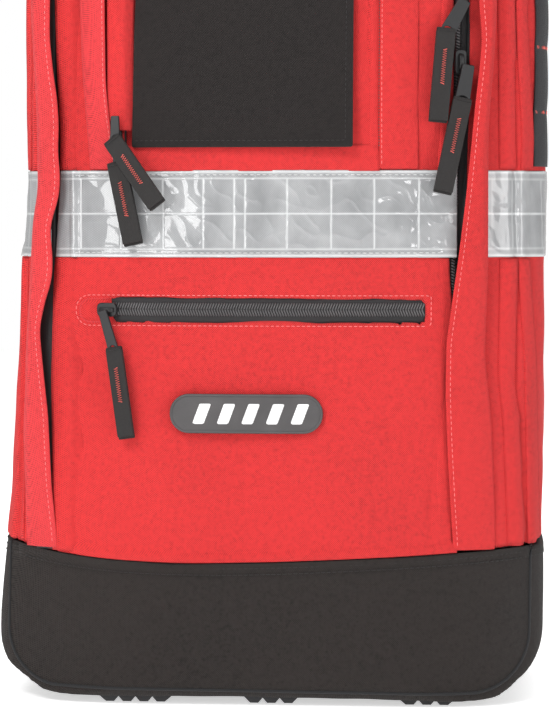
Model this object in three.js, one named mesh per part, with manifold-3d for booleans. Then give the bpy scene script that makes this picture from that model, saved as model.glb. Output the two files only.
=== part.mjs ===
// A trauma backpack of about 35 litres, standing on its rubber runners. Millimetres, +Z up, front to -Y.
// The origin is on the ground, under the middle runner. A deep front door, hinged along the top of the
// black boot, carries a lower zip pocket and an upper compartment with a panel of its own. The harness is
// at the back.
import * as THREE from "three";
import { mergeVertices } from "three/addons/utils/BufferGeometryUtils.js";
import Module from "manifold-3d";

const wasm = await Module();
wasm.setup();

// Body of the bag. The packed bag leans a little to its left, so its middle moves over with height.
const halfBottom = 160; // half the width at the bottom
const halfTop = 152.5; // half the width at the top
const middleBottom = -2;
const middleTop = 6.5;
const bodyBottom = 8; // the runners hold the bag this far off the ground
const bodyTop = 560;
const frontY = -122; // the most bulged part of the front
const sideY = -58; // where the flat sides start to curve into the front
const backY = 82;
const bottomCorner = 34; // corner radii of the front view
const topCorner = 78;
const rearCorner = 20;
const bulgePower = 2.5; // exponent of the superellipse that the front bulges along
const wall = 5; // foam-lined fabric
const gap = 0.3; // between pieces that touch

// Boot and front door
const hingeZ = 92; // top edge of the black boot, and the line that the door turns about
const doorLeft = -118;
const doorRight = 101; // at the bottom
const doorRightTop = 107.5;
const doorTop = 533;
const doorCorner = 54;
const doorBack = -60; // inner face of the door
const doorSkin = 4;
const zipWidth = 8; // the chain and tape round the door
const shelfZ = 298; // divider between the door's pocket and its compartment

// Front compartment and its panel
const panelLeft = -84;
const panelRight = 62.5;
const panelBottom = 318;
const panelTop = 506;
const panelCorner = 34;
const chainWidth = 6;

// Trim
const bandBottom = 261;
const bandTop = 311;
const stormBottom = 102;
const stormTop = 490;
const stormStep = 297; // height where the flap starts to fold back off the sliders
const stormLift = 9.2; // it stands off far enough for a slider and its pull
const compartmentLift = 8.2;

// Harness
const backFace = backY + gap;
const strapWidth = 58;
const strapThick = 12;
const sternumZ = 400;
const hipZ = 135;

// ---- Shapes -------------------------------------------------------------------------------------

// A closed outline through [x, y, radius] corners, each rounded by an arc.
function outline(corners) {
  const shape = new THREE.Shape();
  const count = corners.length;
  corners.forEach(([x, y, radius = 0], i) => {
    const corner = new THREE.Vector2(x, y);
    const [bx, by] = corners[(i + count - 1) % count];
    const [ax, ay] = corners[(i + 1) % count];
    const back = new THREE.Vector2(bx - x, by - y).normalize();
    const on = new THREE.Vector2(ax - x, ay - y).normalize();
    const half = Math.acos(THREE.MathUtils.clamp(back.dot(on), -1, 1)) / 2;
    const start = corner.clone().addScaledVector(back, radius / Math.tan(half));
    if (i) shape.lineTo(start.x, start.y);
    else shape.moveTo(start.x, start.y);
    if (!radius) return;
    const end = corner.clone().addScaledVector(on, radius / Math.tan(half));
    const centre = corner.clone().addScaledVector(back.clone().add(on).normalize(), radius / Math.sin(half));
    const from = Math.atan2(start.y - centre.y, start.x - centre.x);
    const to = Math.atan2(end.y - centre.y, end.x - centre.x);
    shape.absarc(centre.x, centre.y, radius, from, to, back.cross(on) > 0);
  });
  shape.closePath();
  return shape;
}

function rectangle(x0, y0, x1, y1, radius = 0) {
  return outline([[x0, y0, radius], [x1, y0, radius], [x1, y1, radius], [x0, y1, radius]]);
}

// A strip of even thickness along a smooth curve through points.
function strip(points, thick, steps = 14) {
  const curve = new THREE.SplineCurve(points.map(([x, y]) => new THREE.Vector2(x, y)));
  const sides = [[], []];
  for (let i = 0; i <= steps; i++) {
    const at = curve.getPointAt(i / steps);
    const along = curve.getTangentAt(i / steps);
    const across = new THREE.Vector2(-along.y, along.x).multiplyScalar(thick / 2);
    sides[0].push(at.clone().sub(across));
    sides[1].unshift(at.clone().add(across));
  }
  return new THREE.Shape([...sides[0], ...sides[1]]);
}

// ---- Solids -------------------------------------------------------------------------------------

function solid(geometry) {
  const bare = geometry.clone();
  bare.deleteAttribute("normal");
  bare.deleteAttribute("uv");
  const merged = mergeVertices(bare, 1e-4);
  return new wasm.Manifold(
    new wasm.Mesh({
      numProp: 3,
      vertProperties: merged.attributes.position.array,
      triVerts: new Uint32Array(merged.index.array),
    }),
  );
}

function extrusion(shape, length, curveSegments) {
  return new THREE.ExtrudeGeometry(shape, { depth: length, bevelEnabled: false, curveSegments });
}

// A shape of (y, z) points carried along X, of (x, z) points along Y, and of (x, y) points along Z.
function alongX(shape, x0, x1, curveSegments = 4) {
  const turn = new THREE.Matrix4().set(0, 0, 1, 0, 1, 0, 0, 0, 0, 1, 0, 0, 0, 0, 0, 1);
  return solid(extrusion(shape, x1 - x0, curveSegments).applyMatrix4(turn).translate(x0, 0, 0));
}

function alongY(shape, y0, y1, curveSegments = 4) {
  return solid(extrusion(shape, y1 - y0, curveSegments).rotateX(Math.PI / 2).translate(0, y1, 0));
}

function alongZ(shape, z0, z1, curveSegments = 4) {
  return solid(extrusion(shape, z1 - z0, curveSegments).translate(0, 0, z0));
}

function block(x0, x1, y0, y1, z0, z1) {
  const box = new THREE.BoxGeometry(x1 - x0, y1 - y0, z1 - z0);
  return solid(box.translate((x0 + x1) / 2, (y0 + y1) / 2, (z0 + z1) / 2));
}

// A solid whose points are moved by a rule, such as a strap that sways outwards as it goes down.
function bent(piece, rule) {
  const mesh = piece.getMesh();
  const points = Float32Array.from(mesh.vertProperties);
  for (let i = 0; i < points.length; i += mesh.numProp) {
    points.set(rule(points[i], points[i + 1], points[i + 2]), i);
  }
  const moved = { numProp: mesh.numProp, vertProperties: points, triVerts: mesh.triVerts };
  return new wasm.Manifold(new wasm.Mesh(moved));
}

// The same solid on the other side of the bag.
function mirrored(piece) {
  const geometry = toGeometry(piece).scale(-1, 1, 1);
  const index = geometry.index.array;
  for (let i = 0; i < index.length; i += 3) [index[i + 1], index[i + 2]] = [index[i + 2], index[i + 1]];
  return solid(geometry);
}

function toGeometry(piece) {
  const mesh = piece.getMesh();
  const geometry = new THREE.BufferGeometry();
  geometry.setAttribute("position", new THREE.BufferAttribute(Float32Array.from(mesh.vertProperties), 3));
  geometry.setIndex(new THREE.BufferAttribute(Uint32Array.from(mesh.triVerts), 1));
  return geometry;
}

// ---- The body's form ----------------------------------------------------------------------------

function atHeight(z, bottom, top) {
  return bottom + ((top - bottom) * (z - bodyBottom)) / (bodyTop - bodyBottom);
}

// Seen from above: flat back and sides, and a front that bulges along half a superellipse.
function planOutline(inset) {
  const steps = 32;
  const half = halfBottom - inset;
  const bulge = sideY - frontY - inset;
  const radius = rearCorner - inset / 2;
  const shape = new THREE.Shape();
  shape.moveTo(-half, sideY);
  for (let i = 1; i <= steps; i++) {
    const angle = (Math.PI * i) / steps;
    const x = -Math.sign(Math.cos(angle)) * half * Math.abs(Math.cos(angle)) ** (2 / bulgePower);
    shape.lineTo(x, sideY - bulge * Math.max(Math.sin(angle), 0) ** (2 / bulgePower));
  }
  shape.absarc(half - radius, backY - inset - radius, radius, 0, Math.PI / 2);
  shape.absarc(radius - half, backY - inset - radius, radius, Math.PI / 2, Math.PI);
  shape.closePath();
  return shape;
}

// Seen from the front: a slightly tapering box with round corners.
function frontOutline(inset) {
  const low = bodyBottom + inset;
  const high = bodyTop - inset;
  return outline([
    [middleBottom - halfBottom + inset, low, bottomCorner - inset],
    [middleBottom + halfBottom - inset, low, bottomCorner - inset],
    [middleTop + halfTop - inset, high, topCorner - inset],
    [middleTop - halfTop + inset, high, topCorner - inset],
  ]);
}

// Seen from the side: the front leans back above the band, and the top front edge is well rounded.
function sideOutline(inset) {
  return outline([
    [frontY + 6 + inset, bodyBottom + inset, 14 - inset],
    [backY - inset, bodyBottom + inset, 16 - inset / 2],
    [backY - inset, bodyTop - inset, 22 - inset / 2],
    [frontY + 26 + inset, bodyTop - inset, 52 - inset],
    [frontY + inset, 340, 400],
    [frontY + inset, hingeZ, 200],
  ]);
}

const formCache = new Map();

// The outer form, shrunk by inset, or grown where inset is negative.
function form(inset) {
  if (!formCache.has(inset)) {
    const reach = 400;
    const taper = (x, y, z) => [
      atHeight(z, middleBottom, middleTop) + (x * atHeight(z, halfBottom, halfTop)) / halfBottom, y, z,
    ];
    const made = bent(alongZ(planOutline(inset), bodyBottom - 20, bodyTop + 20), taper)
      .intersect(alongY(frontOutline(inset), -reach, reach, 8))
      .intersect(alongX(sideOutline(inset), -reach, reach, 6));
    formCache.set(inset, made);
  }
  return formCache.get(inset);
}

// A skin that follows the front of the body, from one height above its surface to another, inside a
// front-view shape.
function skin(shape, low, high, yBack = sideY, curveSegments = 4) {
  return form(-high).subtract(form(-low)).intersect(alongY(shape, -300, yBack, curveSegments));
}

// How far forward the surface lies at a place in the front view, and which way it faces there, in degrees.
function surfaceY(x, z) {
  const across = Math.abs(x - atHeight(z, middleBottom, middleTop)) / atHeight(z, halfBottom, halfTop);
  const bulge = (sideY - frontY) * (1 - Math.min(across, 1) ** bulgePower) ** (1 / bulgePower);
  const lean = Math.max(z - 340, 0) * (26 / (bodyTop - 340));
  return Math.max(sideY - bulge, frontY + lean);
}

function surfaceTurn(x, z) {
  return THREE.MathUtils.radToDeg(Math.atan2(surfaceY(x + 2, z) - surfaceY(x - 2, z), 4));
}

function doorOutline(grow) {
  return outline([
    [doorLeft - grow, hingeZ + gap],
    [doorRight + grow, hingeZ + gap],
    [doorRightTop + grow, doorTop + grow, doorCorner + grow],
    [doorLeft - grow, doorTop + grow, doorCorner + grow],
  ]);
}

function panelOutline(grow, bottom = panelBottom) {
  return outline([
    [panelLeft - grow, bottom],
    [panelRight + grow, bottom],
    [panelRight + grow, panelTop + grow, panelCorner + grow],
    [panelLeft - grow, panelTop + grow, panelCorner + grow],
  ]);
}

// ---- Materials ----------------------------------------------------------------------------------

function material(color, roughness, metalness = 0) {
  return new THREE.MeshStandardMaterial({ color, roughness, metalness });
}

const redCordura = material("#d8393c", 0.85);
const blackCordura = material("#383537", 0.85);
const softshell = material("#3a3739", 0.9);
const webbing = material("#252427", 0.8);
const reflective = material("#b9bcbd", 0.25, 0.1);
const zipBlack = material("#2b292b", 0.45);
const sliderMetal = material("#2a2a2c", 0.35, 0.6);
const buckleNylon = material("#1f1f21", 0.4);
const patchRubber = material("#4a474a", 0.6);
const footRubber = material("#3b3a3d", 0.75);
const airMesh = material("#2f2e31", 0.95);
const framePlastic = material("#d6d7d3", 0.5);
const aluminium = material("#b4b7ba", 0.35, 0.9);
const lining = material("#8b8e92", 0.9);

const backpack = new THREE.Group();

function add(name, piece, finish, parent = backpack) {
  const mesh = new THREE.Mesh(toGeometry(piece), finish);
  mesh.name = name;
  parent.add(mesh);
  return mesh;
}

// ---- Shells -------------------------------------------------------------------------------------

function addShells() {
  const cutY = backY - 5.7; // the back panel closes the rest
  const rear = block(-300, 300, cutY, 300, -100, 700);
  const below = block(-300, 300, -300, 300, -100, hingeZ);
  const hollow = form(0).subtract(form(wall)).subtract(rear);
  const doorway = alongY(doorOutline(zipWidth + gap), -300, -40);
  add("main_shell", hollow.subtract(below).subtract(doorway), redCordura);
  add("base_boot", hollow.intersect(block(-300, 300, -300, 300, -100, hingeZ - gap)), blackCordura);
  add("back_panel", form(0).intersect(block(-300, 300, cutY + gap, 300, -100, 700)), blackCordura);
}

function addInside() {
  const sheetBack = backY - 5.7 - 4;
  add("frame_sheet", alongY(rectangle(-110, 40, 110, 500, 25), sheetBack - 8, sheetBack - 6, 3), framePlastic);
  for (const [side, x] of [["left", -60], ["right", 60]]) {
    const stay = rectangle(x - 12.5, 50, x + 12.5, 490, 8);
    add(`frame_stay_${side}`, alongY(stay, sheetBack - 5.6, sheetBack - 2.6, 2), aluminium);
  }
  const middle = atHeight(shelfZ, middleBottom, middleTop);
  const half = atHeight(shelfZ, halfBottom, halfTop) - wall - 3;
  const shelf = rectangle(middle - half, -52, middle + half, sheetBack - 9, 8);
  add("shelf_divider", alongZ(shelf, shelfZ, shelfZ + 5, 3), lining);
}

// Ribbed rubber runners: ridges with flat crests for the bag to stand on, and grooves between them.
function addRunners() {
  const pitch = 10;
  const crest = 2.4;
  const groove = 3;
  for (const [name, x, width, ridges] of [["left", -80, 53, 4], ["middle", 0, 40, 3], ["right", 91, 43, 3]]) {
    const top = bodyBottom - gap;
    const points = [[width / 2, top]];
    for (let i = ridges - 1; i >= 0; i--) {
      const at = (i - (ridges - 1) / 2) * pitch;
      if (i < ridges - 1) points.push([at + pitch / 2, groove]);
      points.push([at + crest, 0], [at - crest, 0]);
    }
    points.push([-width / 2, top]);
    const profile = new THREE.Shape(points.map(([u, v]) => new THREE.Vector2(x + u, v)));
    add(`runner_${name}`, alongY(profile, -100, 66), footRubber);
  }
}

// ---- Front door ---------------------------------------------------------------------------------

function addDoor() {
  const slit = rectangle(-91, 224, 90, 237, 2);
  const outer = form(0).intersect(alongY(doorOutline(0), -300, doorBack));
  const room = form(doorSkin).intersect(alongY(doorOutline(-doorSkin), -300, doorBack - doorSkin));
  const shelf = block(-300, 300, -300, doorBack, shelfZ, shelfZ + 4);
  const bottom = block(-300, 300, -300, doorBack, hingeZ, hingeZ + doorSkin);
  const shell = outer
    .subtract(room.subtract(shelf).subtract(bottom))
    .subtract(alongY(panelOutline(0.4), -300, -80))
    .subtract(alongY(slit, -300, -80));
  add("door_shell", shell, redCordura);
  const chain = alongY(rectangle(-90.6, 224.4, 89.6, 236.6, 1.6), -300, -80);
  add("pocket_zip", form(2.8).subtract(form(4.6)).intersect(chain), zipBlack);
  add("door_mesh_pocket", alongY(rectangle(-96, 120, 88, 292, 14), doorBack + gap, doorBack + 4, 3), airMesh);
}

// The zip round the door is stored closed: its chain and tape ride with the door.
function addDoorZip() {
  const ring = alongY(doorOutline(zipWidth), -300, 0).subtract(alongY(doorOutline(gap), -301, 1));
  const under = block(-300, 300, -300, 300, 0, hingeZ + 4);
  add("main_zip", form(0.8).subtract(form(2.8)).intersect(ring).subtract(under), zipBlack);
}

function addDoorTrim() {
  const onDoor = alongY(doorOutline(0), -300, doorBack);
  const level = block(-300, 300, -300, doorBack, bandBottom, bandTop);
  add("band_front", form(-1.2).subtract(form(-gap)).intersect(level).intersect(onDoor), reflective);
  add("name_patch", skin(rectangle(-56.5, 160, 31.5, 182, 10.9), gap, 2.6), patchRubber);
  // Each flap is sewn down along its outer edge and stands over the zip with its inner edge free.
  for (const [side, free, sewn] of [["left", -91.5, -105], ["right", 70.5, 86]]) {
    const low = Math.min(free, sewn);
    const high = Math.max(free, sewn);
    const cover = rectangle(low, 322, high, 478);
    const seamX = side === "left" ? low : high - 2;
    const seam = skin(rectangle(seamX, 322, seamX + 2, 478), 2, compartmentLift + 0.2);
    add(`compartment_flap_${side}`, skin(cover, compartmentLift, compartmentLift + 1.4).add(seam), redCordura);
  }
}

// The panel of the front compartment opens downwards inside its zip, and carries a flap of black softshell.
function addPanel() {
  const opening = alongY(panelOutline(0, panelBottom + 0.4), -300, -80);
  add("compartment_panel", form(0).subtract(form(doorSkin)).intersect(opening), redCordura);
  const chain = skin(panelOutline(0.4 + chainWidth, panelBottom + 4), gap, 1.7)
    .subtract(alongY(panelOutline(0.4, panelBottom), -300, 0));
  add("compartment_zip", chain, zipBlack);
  add("map_flap", skin(rectangle(-76.5, 324, 48.5, 484, 3), 0.4, 3.4, sideY, 2), softshell);
}

// ---- Body trim ----------------------------------------------------------------------------------

function addBodyTrim() {
  const wrap = form(-1.2).subtract(form(-gap));
  const daisy = form(-2.4).subtract(form(-gap));
  const spans = [["left", -300, doorLeft - zipWidth - 2], ["right", doorRightTop + zipWidth + 1, 300]];
  for (const [side, x0, x1] of spans) {
    add(`band_side_${side}`, wrap.intersect(block(x0, x1, -300, 62, bandBottom, bandTop)), reflective);
    const [outer, inner] = side === "left" ? [-300, 0] : [0, 300];
    add(`daisy_chain_${side}`, daisy.intersect(block(outer, inner, -76, -52, bandTop + 2, 478)), webbing);
  }
}

function addStormFlaps() {
  const edges = [["left", -1, -128, -129, -140], ["right", 1, 112.5, 121, 131]];
  for (const [side, sign, inner, fold, outer] of edges) {
    const cover = new THREE.Shape([
      [inner, stormBottom], [outer, stormBottom], [outer, stormTop], [fold, stormTop], [fold, stormStep + 22],
      [inner, stormStep],
    ].map(([x, z]) => new THREE.Vector2(x, z)));
    const root = outer - 2 * sign;
    const seam = rectangle(Math.min(outer, root), stormBottom, Math.max(outer, root), stormTop);
    const flap = skin(cover, stormLift, stormLift + 1.4).add(skin(seam, 1.6, stormLift + 0.2));
    add(`storm_flap_${side}`, flap, redCordura);
  }
}

// ---- Zip sliders and pulls ----------------------------------------------------------------------

// A slider body with its raised crown: X across the zip, -Y out of the bag, Z along the zip.
function sliderSolid(width, length) {
  const body = rectangle(-width / 2, -length / 2, width / 2, length / 2, width / 3);
  const crown = new THREE.Shape([
    [0, -4.5], [-1.8, -3.5], [-1.8, 3.5], [0, 4.5],
  ].map(([y, z]) => new THREE.Vector2(y - 2.9, z)));
  return alongY(body, -3, 0, 2).add(alongX(crown, -1.3, 1.3, 2));
}

// A pull: a flat tab with an eye, and a folded textile grip that hangs from the eye at an angle of its own.
// The whole hangs down from its hinge at the origin.
function pullSolid({ tabWidth, tabLength, gripWidth, gripLength }, bend) {
  const half = tabWidth / 2;
  const top = 1.2;
  const tab = outline([
    [-half, -tabLength, 2.2], [half, -tabLength, 2.2], [half * 0.45, top, 0.8], [-half * 0.45, top, 0.8],
  ]);
  const eye = new THREE.Path();
  eye.absellipse(0, -tabLength + 5.5, half - 1.9, 2.6, 0, 2 * Math.PI);
  tab.holes.push(eye);
  const grip = alongY(rectangle(-gripWidth / 2, -gripLength, gripWidth / 2, 3, 1), -1.4, 1.4, 2);
  const angle = THREE.MathUtils.degToRad(bend);
  const place = (x, y, z) => [
    x * Math.cos(angle) + z * Math.sin(angle), y, z * Math.cos(angle) - x * Math.sin(angle) - tabLength + 3,
  ];
  return alongY(tab, -0.8, 0.8, 3).add(bent(grip, place));
}

// Places a slider on the surface and its pull in front of it, turned to lie along the curve of the bag. The
// tab and the grip of a pull each lean from the vertical by an angle of their own.
function addZipPull(name, { slider, hinge, inset, lift, tabLean, gripLean, across = 0, size, pull }) {
  const [sliderX, sliderZ] = slider;
  const [width, length] = size;
  const [pullX, pullZ] = hinge;
  const turn = THREE.MathUtils.degToRad(surfaceTurn(sliderX, sliderZ));
  const body = new THREE.Group();
  body.position.set(sliderX, surfaceY(sliderX, sliderZ) - inset, sliderZ);
  body.rotation.set(0, across, turn, "ZYX");
  add(`${name}_slider`, sliderSolid(width, length), sliderMetal, body);
  const hanging = new THREE.Group();
  hanging.position.set(pullX, surfaceY(pullX, pullZ) - inset - lift, pullZ);
  hanging.rotation.set(0, THREE.MathUtils.degToRad(tabLean), turn, "ZYX");
  add(`${name}_pull`, pullSolid(pull, gripLean - tabLean), webbing, hanging);
  backpack.add(body, hanging);
}

function addZipPulls() {
  const pull = { tabWidth: 9.6, tabLength: 25, gripWidth: 11, gripLength: 52 };
  const main = { inset: 0.4, lift: 7, size: [7, 14], pull };
  const upper = { slider: [110, 409], hinge: [112, 407], tabLean: 30, gripLean: 5 };
  const lower = { slider: [109.4, 373], hinge: [114.4, 370], tabLean: 10.5, gripLean: 12.3 };
  addZipPull("main_upper", { ...main, ...upper });
  addZipPull("main_lower", { ...main, ...lower });
  const chainX = panelLeft - 0.4 - chainWidth / 2;
  const front = { inset: 2.2, size: [6, 12], tabLean: 0 };
  const narrow = { tabWidth: 6.5, gripWidth: 11, gripLength: 49 };
  addZipPull("compartment_upper", {
    ...front, slider: [chainX, 347], hinge: [-87.8, 341], gripLean: -36, lift: 9.6,
    pull: { ...narrow, tabLength: 24 },
  });
  addZipPull("compartment_lower", {
    ...front, slider: [chainX, 328.5], hinge: [-87.8, 325], gripLean: -12, lift: 6.2,
    pull: { ...narrow, tabLength: 18 },
  });
  addZipPull("pocket", {
    slider: [-93.6, 230.5], hinge: [-95, 229], across: Math.PI / 2, size: [8, 12], inset: 0.4, lift: 6.4,
    tabLean: -20, gripLean: -8.3, pull: { tabWidth: 6.5, tabLength: 20, gripWidth: 9.5, gripLength: 53 },
  });
}

// ---- Harness ------------------------------------------------------------------------------------

function addBackPads() {
  for (const [side, sign] of [["left", -1], ["right", 1]]) {
    const pad = rectangle(Math.min(14 * sign, 98 * sign), 215, Math.max(14 * sign, 98 * sign), 470, 26);
    add(`back_pad_${side}`, alongY(pad, backFace, backFace + 14, 3), airMesh);
  }
  add("lumbar_pad", alongY(rectangle(-92, 102, 92, 190, 26), backFace, backFace + 16, 3), airMesh);
}

function addShoulderStraps() {
  // A strap leaves the bag near the top of the back, arches over the shoulder and ends in a ladder lock.
  const path = [
    [91, 492], [104, 512], [128, 514], [148, 486], [158, 430], [160, 360], [152, 285], [136, 222],
  ];
  const sway = (z) => 24 * THREE.MathUtils.smoothstep(500 - z, 0, 270);
  const webPath = [[134, 205], [121, 160], [108, 115], [97, 86], [backFace + 3, 60]];
  const lifter = [[132, 523], [116, 536], [100, 546], [backFace + 3, 548]];
  const centre = 56;
  for (const [side, sign] of [["left", -1], ["right", 1]]) {
    const place = (piece) => (sign < 0 ? mirrored(piece) : piece);
    const strap = alongX(strip(path, strapThick, 18), centre - strapWidth / 2, centre + strapWidth / 2);
    add(`shoulder_strap_${side}`, place(bent(strap, (x, y, z) => [x + sway(z), y, z])), airMesh);
    const web = alongX(strip(webPath, 2, 10), centre - 12.5, centre + 12.5);
    add(`strap_webbing_${side}`, place(bent(web, (x, y, z) => [x + 24, y, z])), webbing);
    const plate = alongY(rectangle(centre + 24 - 17, 206, centre + 24 + 17, 220, 3), 140.5, 146, 2);
    const slot = block(centre + 24 - 13, centre + 24 + 13, 130, 160, 209, 213);
    add(`ladder_lock_${side}`, place(plate.subtract(slot)), buckleNylon);
    add(`load_lifter_${side}`, place(alongX(strip(lifter, 2, 8), centre - 10, centre + 10)), webbing);
  }
}

// A side-release buckle along X, centred on y and z: the female half is hollow, and the male half has two
// prongs and a slot that its webbing runs through.
function buckleFemale(x0, x1, y, z, width, thick) {
  const deep = thick / 2;
  const high = width / 2;
  const room = block(x0 - 1, x1 - 6, y - deep + 2, y + deep - 2, z - high + 3, z + high - 3);
  return alongY(rectangle(x0, z - high, x1, z + high, 4), y - deep, y + deep, 2).subtract(room);
}

function buckleMale(x0, x1, reach, y, z, width, thick, webWidth) {
  const body = alongY(rectangle(x0, z - width / 2, x1, z + width / 2, 3), y - thick / 2, y + thick / 2, 2);
  const slot = block(x0 - 1, x1 - 4, y - 1.6, y + 1.6, z - webWidth / 2 - 0.6, z + webWidth / 2 + 0.6);
  const prong = (side) => {
    const far = side * (width / 2 - 3.6);
    const near = side * (width / 2 - 8);
    const [low, high] = [Math.min(far, near), Math.max(far, near)];
    return block(x1 - 1, reach, y - thick / 2 + 2.4, y + thick / 2 - 2.4, z + low, z + high);
  };
  return body.subtract(slot).add(prong(1)).add(prong(-1));
}

function webAcross(points, width, z) {
  return alongZ(strip(points, 1.8, 8), z - width / 2, z + width / 2);
}

function addSternumStrap() {
  const y = 171.3; // clear of the outside of the shoulder straps
  const web = 20;
  const strapX = 72; // middle of the shoulder strap at this height
  add("sternum_webbing_left", webAcross([[-strapX, y], [-40, y], [-12, y]], web, sternumZ), webbing);
  add("sternum_webbing_right", webAcross([[31.3, y], [50, y], [strapX, y]], web, sternumZ), webbing);
  add("sternum_buckle_female", buckleFemale(-3, 31, y, sternumZ, 29, 9), buckleNylon);
  add("sternum_buckle_male", buckleMale(-28, -3.4, 16, y, sternumZ, 27, 8, web), buckleNylon);
}

function addHipBelt() {
  const y = 162; // the webbing runs over the outside of the wings
  const web = 38;
  const wing = strip([[94, 91], [120, 92], [142, 100], [147, 122], [134, 143], [112, 152]], 12, 16);
  for (const [side, sign] of [["left", -1], ["right", 1]]) {
    const piece = alongZ(wing, hipZ - 40, hipZ + 40);
    add(`hip_wing_${side}`, sign < 0 ? mirrored(piece) : piece, airMesh);
  }
  add("hip_webbing_left", webAcross([[-118, y], [-60, y], [-17, y]], web, hipZ), webbing);
  add("hip_webbing_right", webAcross([[46.3, y], [80, y], [118, y]], web, hipZ), webbing);
  add("hip_buckle_female", buckleFemale(-4, 46, y, hipZ, 50, 12), buckleNylon);
  add("hip_buckle_male", buckleMale(-42, -4.4, 26, y, hipZ, 47, 11, web), buckleNylon);
}

// The webbing narrows where it turns on its sewn ends, so that it can lie down either way.
function addHaulHandle() {
  const top = bodyTop + 4;
  const middle = middleTop;
  const y = 30;
  const across = [-52, -44, -34, -18, 0, 18, 34, 44, 52];
  const rise = [0, 7, 20, 29, 31, 29, 20, 7, 0];
  const arch = across.map((x, i) => [middle + x, top + rise[i]]);
  const narrow = (x, py, z) => {
    const share = THREE.MathUtils.clamp((z - top) / 16, 0.16, 1);
    return [x, y + (py - y) * share, z];
  };
  add("haul_handle_webbing", bent(alongY(strip(arch, 2, 24), y - 12.5, y + 12.5), narrow), webbing);
  const core = alongY(strip(arch, 2 + 2 * gap, 24), y - 12.5 - gap, y + 12.5 + gap);
  const palm = [[-28, 23.6], [-14, 29.8], [0, 31], [14, 29.8], [28, 23.6]];
  const held = strip(palm.map(([x, z]) => [middle + x, top + z]), 11, 10);
  add("haul_handle_grip", alongY(held, y - 16, y + 16).subtract(core), airMesh);
}

addShells();
addInside();
addRunners();
addDoor();
addDoorZip();
addDoorTrim();
addPanel();
addBodyTrim();
addStormFlaps();
addZipPulls();
addBackPads();
addShoulderStraps();
addSternumStrap();
addHipBelt();
addHaulHandle();

export default backpack;
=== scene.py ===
"""A trauma backpack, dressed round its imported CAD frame: coated red and black cloth, zips with pulls, a
reflective band, and a padded harness. Lengths are in millimetres up to the point where a mesh is made."""

import math

import bpy
import numpy as np
from mathutils import Matrix, Vector, noise
from mathutils.bvhtree import BVHTree


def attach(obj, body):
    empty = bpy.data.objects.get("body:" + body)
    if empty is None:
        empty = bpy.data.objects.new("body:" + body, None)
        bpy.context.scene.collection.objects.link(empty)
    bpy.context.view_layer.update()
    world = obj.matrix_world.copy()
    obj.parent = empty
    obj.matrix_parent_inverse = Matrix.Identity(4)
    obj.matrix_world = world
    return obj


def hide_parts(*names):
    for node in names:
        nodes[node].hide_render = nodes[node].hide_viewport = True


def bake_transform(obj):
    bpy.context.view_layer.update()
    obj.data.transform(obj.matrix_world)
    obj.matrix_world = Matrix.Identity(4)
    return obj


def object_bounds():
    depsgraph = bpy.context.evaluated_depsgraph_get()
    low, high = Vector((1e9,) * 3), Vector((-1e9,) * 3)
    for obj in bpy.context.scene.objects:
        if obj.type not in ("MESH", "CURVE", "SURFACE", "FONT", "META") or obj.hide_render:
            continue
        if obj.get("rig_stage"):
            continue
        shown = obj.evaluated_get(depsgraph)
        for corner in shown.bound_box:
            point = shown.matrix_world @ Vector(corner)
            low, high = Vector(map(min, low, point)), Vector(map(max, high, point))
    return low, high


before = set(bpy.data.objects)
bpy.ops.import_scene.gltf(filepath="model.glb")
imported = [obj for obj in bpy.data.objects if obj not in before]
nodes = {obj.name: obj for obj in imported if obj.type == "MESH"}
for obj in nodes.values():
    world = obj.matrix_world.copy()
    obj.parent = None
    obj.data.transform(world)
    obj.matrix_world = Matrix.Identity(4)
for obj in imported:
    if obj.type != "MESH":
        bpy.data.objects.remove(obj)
cad_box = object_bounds()
MM = 0.001

# ---- Driving dimensions, the same as in the CAD ------------------

HALF_BOTTOM, HALF_TOP = 160, 152.5
MIDDLE_BOTTOM, MIDDLE_TOP = -2, 6.5
BODY_BOTTOM, BODY_TOP = 8, 560
FRONT_Y, SIDE_Y, BACK_Y = -122, -58, 82
BULGE_POWER = 2.5
LEAN_FROM, LEAN = 340, 26  # above this height the front leans back, by this much at the top
HINGE_Z = 92
DOOR_LEFT, DOOR_RIGHT, DOOR_RIGHT_TOP, DOOR_TOP, DOOR_CORNER = -118, 101, 107.5, 533, 54
PANEL_LEFT, PANEL_RIGHT, PANEL_BOTTOM, PANEL_TOP, PANEL_CORNER = -84, 62.5, 318, 506, 34
BAND_BOTTOM, BAND_TOP = 261, 311
BAND_MIDDLE = (BAND_BOTTOM + BAND_TOP) / 2
SIDES = (("left", -1), ("right", 1))
UPRIGHT = Matrix.Rotation(math.pi / 2, 4, "X")  # turns a flat outline to face the front
INSIDE, INSIDE_LOW = (0, 0, 300), (0, 0, 200)  # middles of the bag and of its lower part

# ---- Camera, light and floor -------------------------------------

CAMERA_DISTANCE = 1800
CAMERA_HEIGHT = 286
CAMERA_TURN = math.radians(4.5)
CAMERA_LENS = 156.6
LOOK_AT = (3.7, FRONT_Y, 202)
WORLD_LIGHT = 0.52
LIGHTS = (  # name, place, size, power in watts
    ("key", (-640, -1500, 1600), (600, 600), 22),
    ("left_softbox", (-835, -1480, 355), (340, 430), 4.9),
    ("fill", (1300, -1150, 560), (500, 900), 8),
    ("right_softbox", (672, -1607, 300), (110, 160), 0.8),
    ("rear", (300, 1500, 1300), (1200, 900), 16),
)
LIGHTS_LOOK_AT = (0, -60, 260)
FLOOR_SIZE = 9000


def new_object(name, data):
    made = bpy.data.objects.new(name, data)
    bpy.context.scene.collection.objects.link(made)
    return made


def aim(thing, place, target):
    thing.location = place
    thing.rotation_euler = (Vector(target) * MM - thing.location).to_track_quat("-Z", "Y").to_euler()


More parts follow.
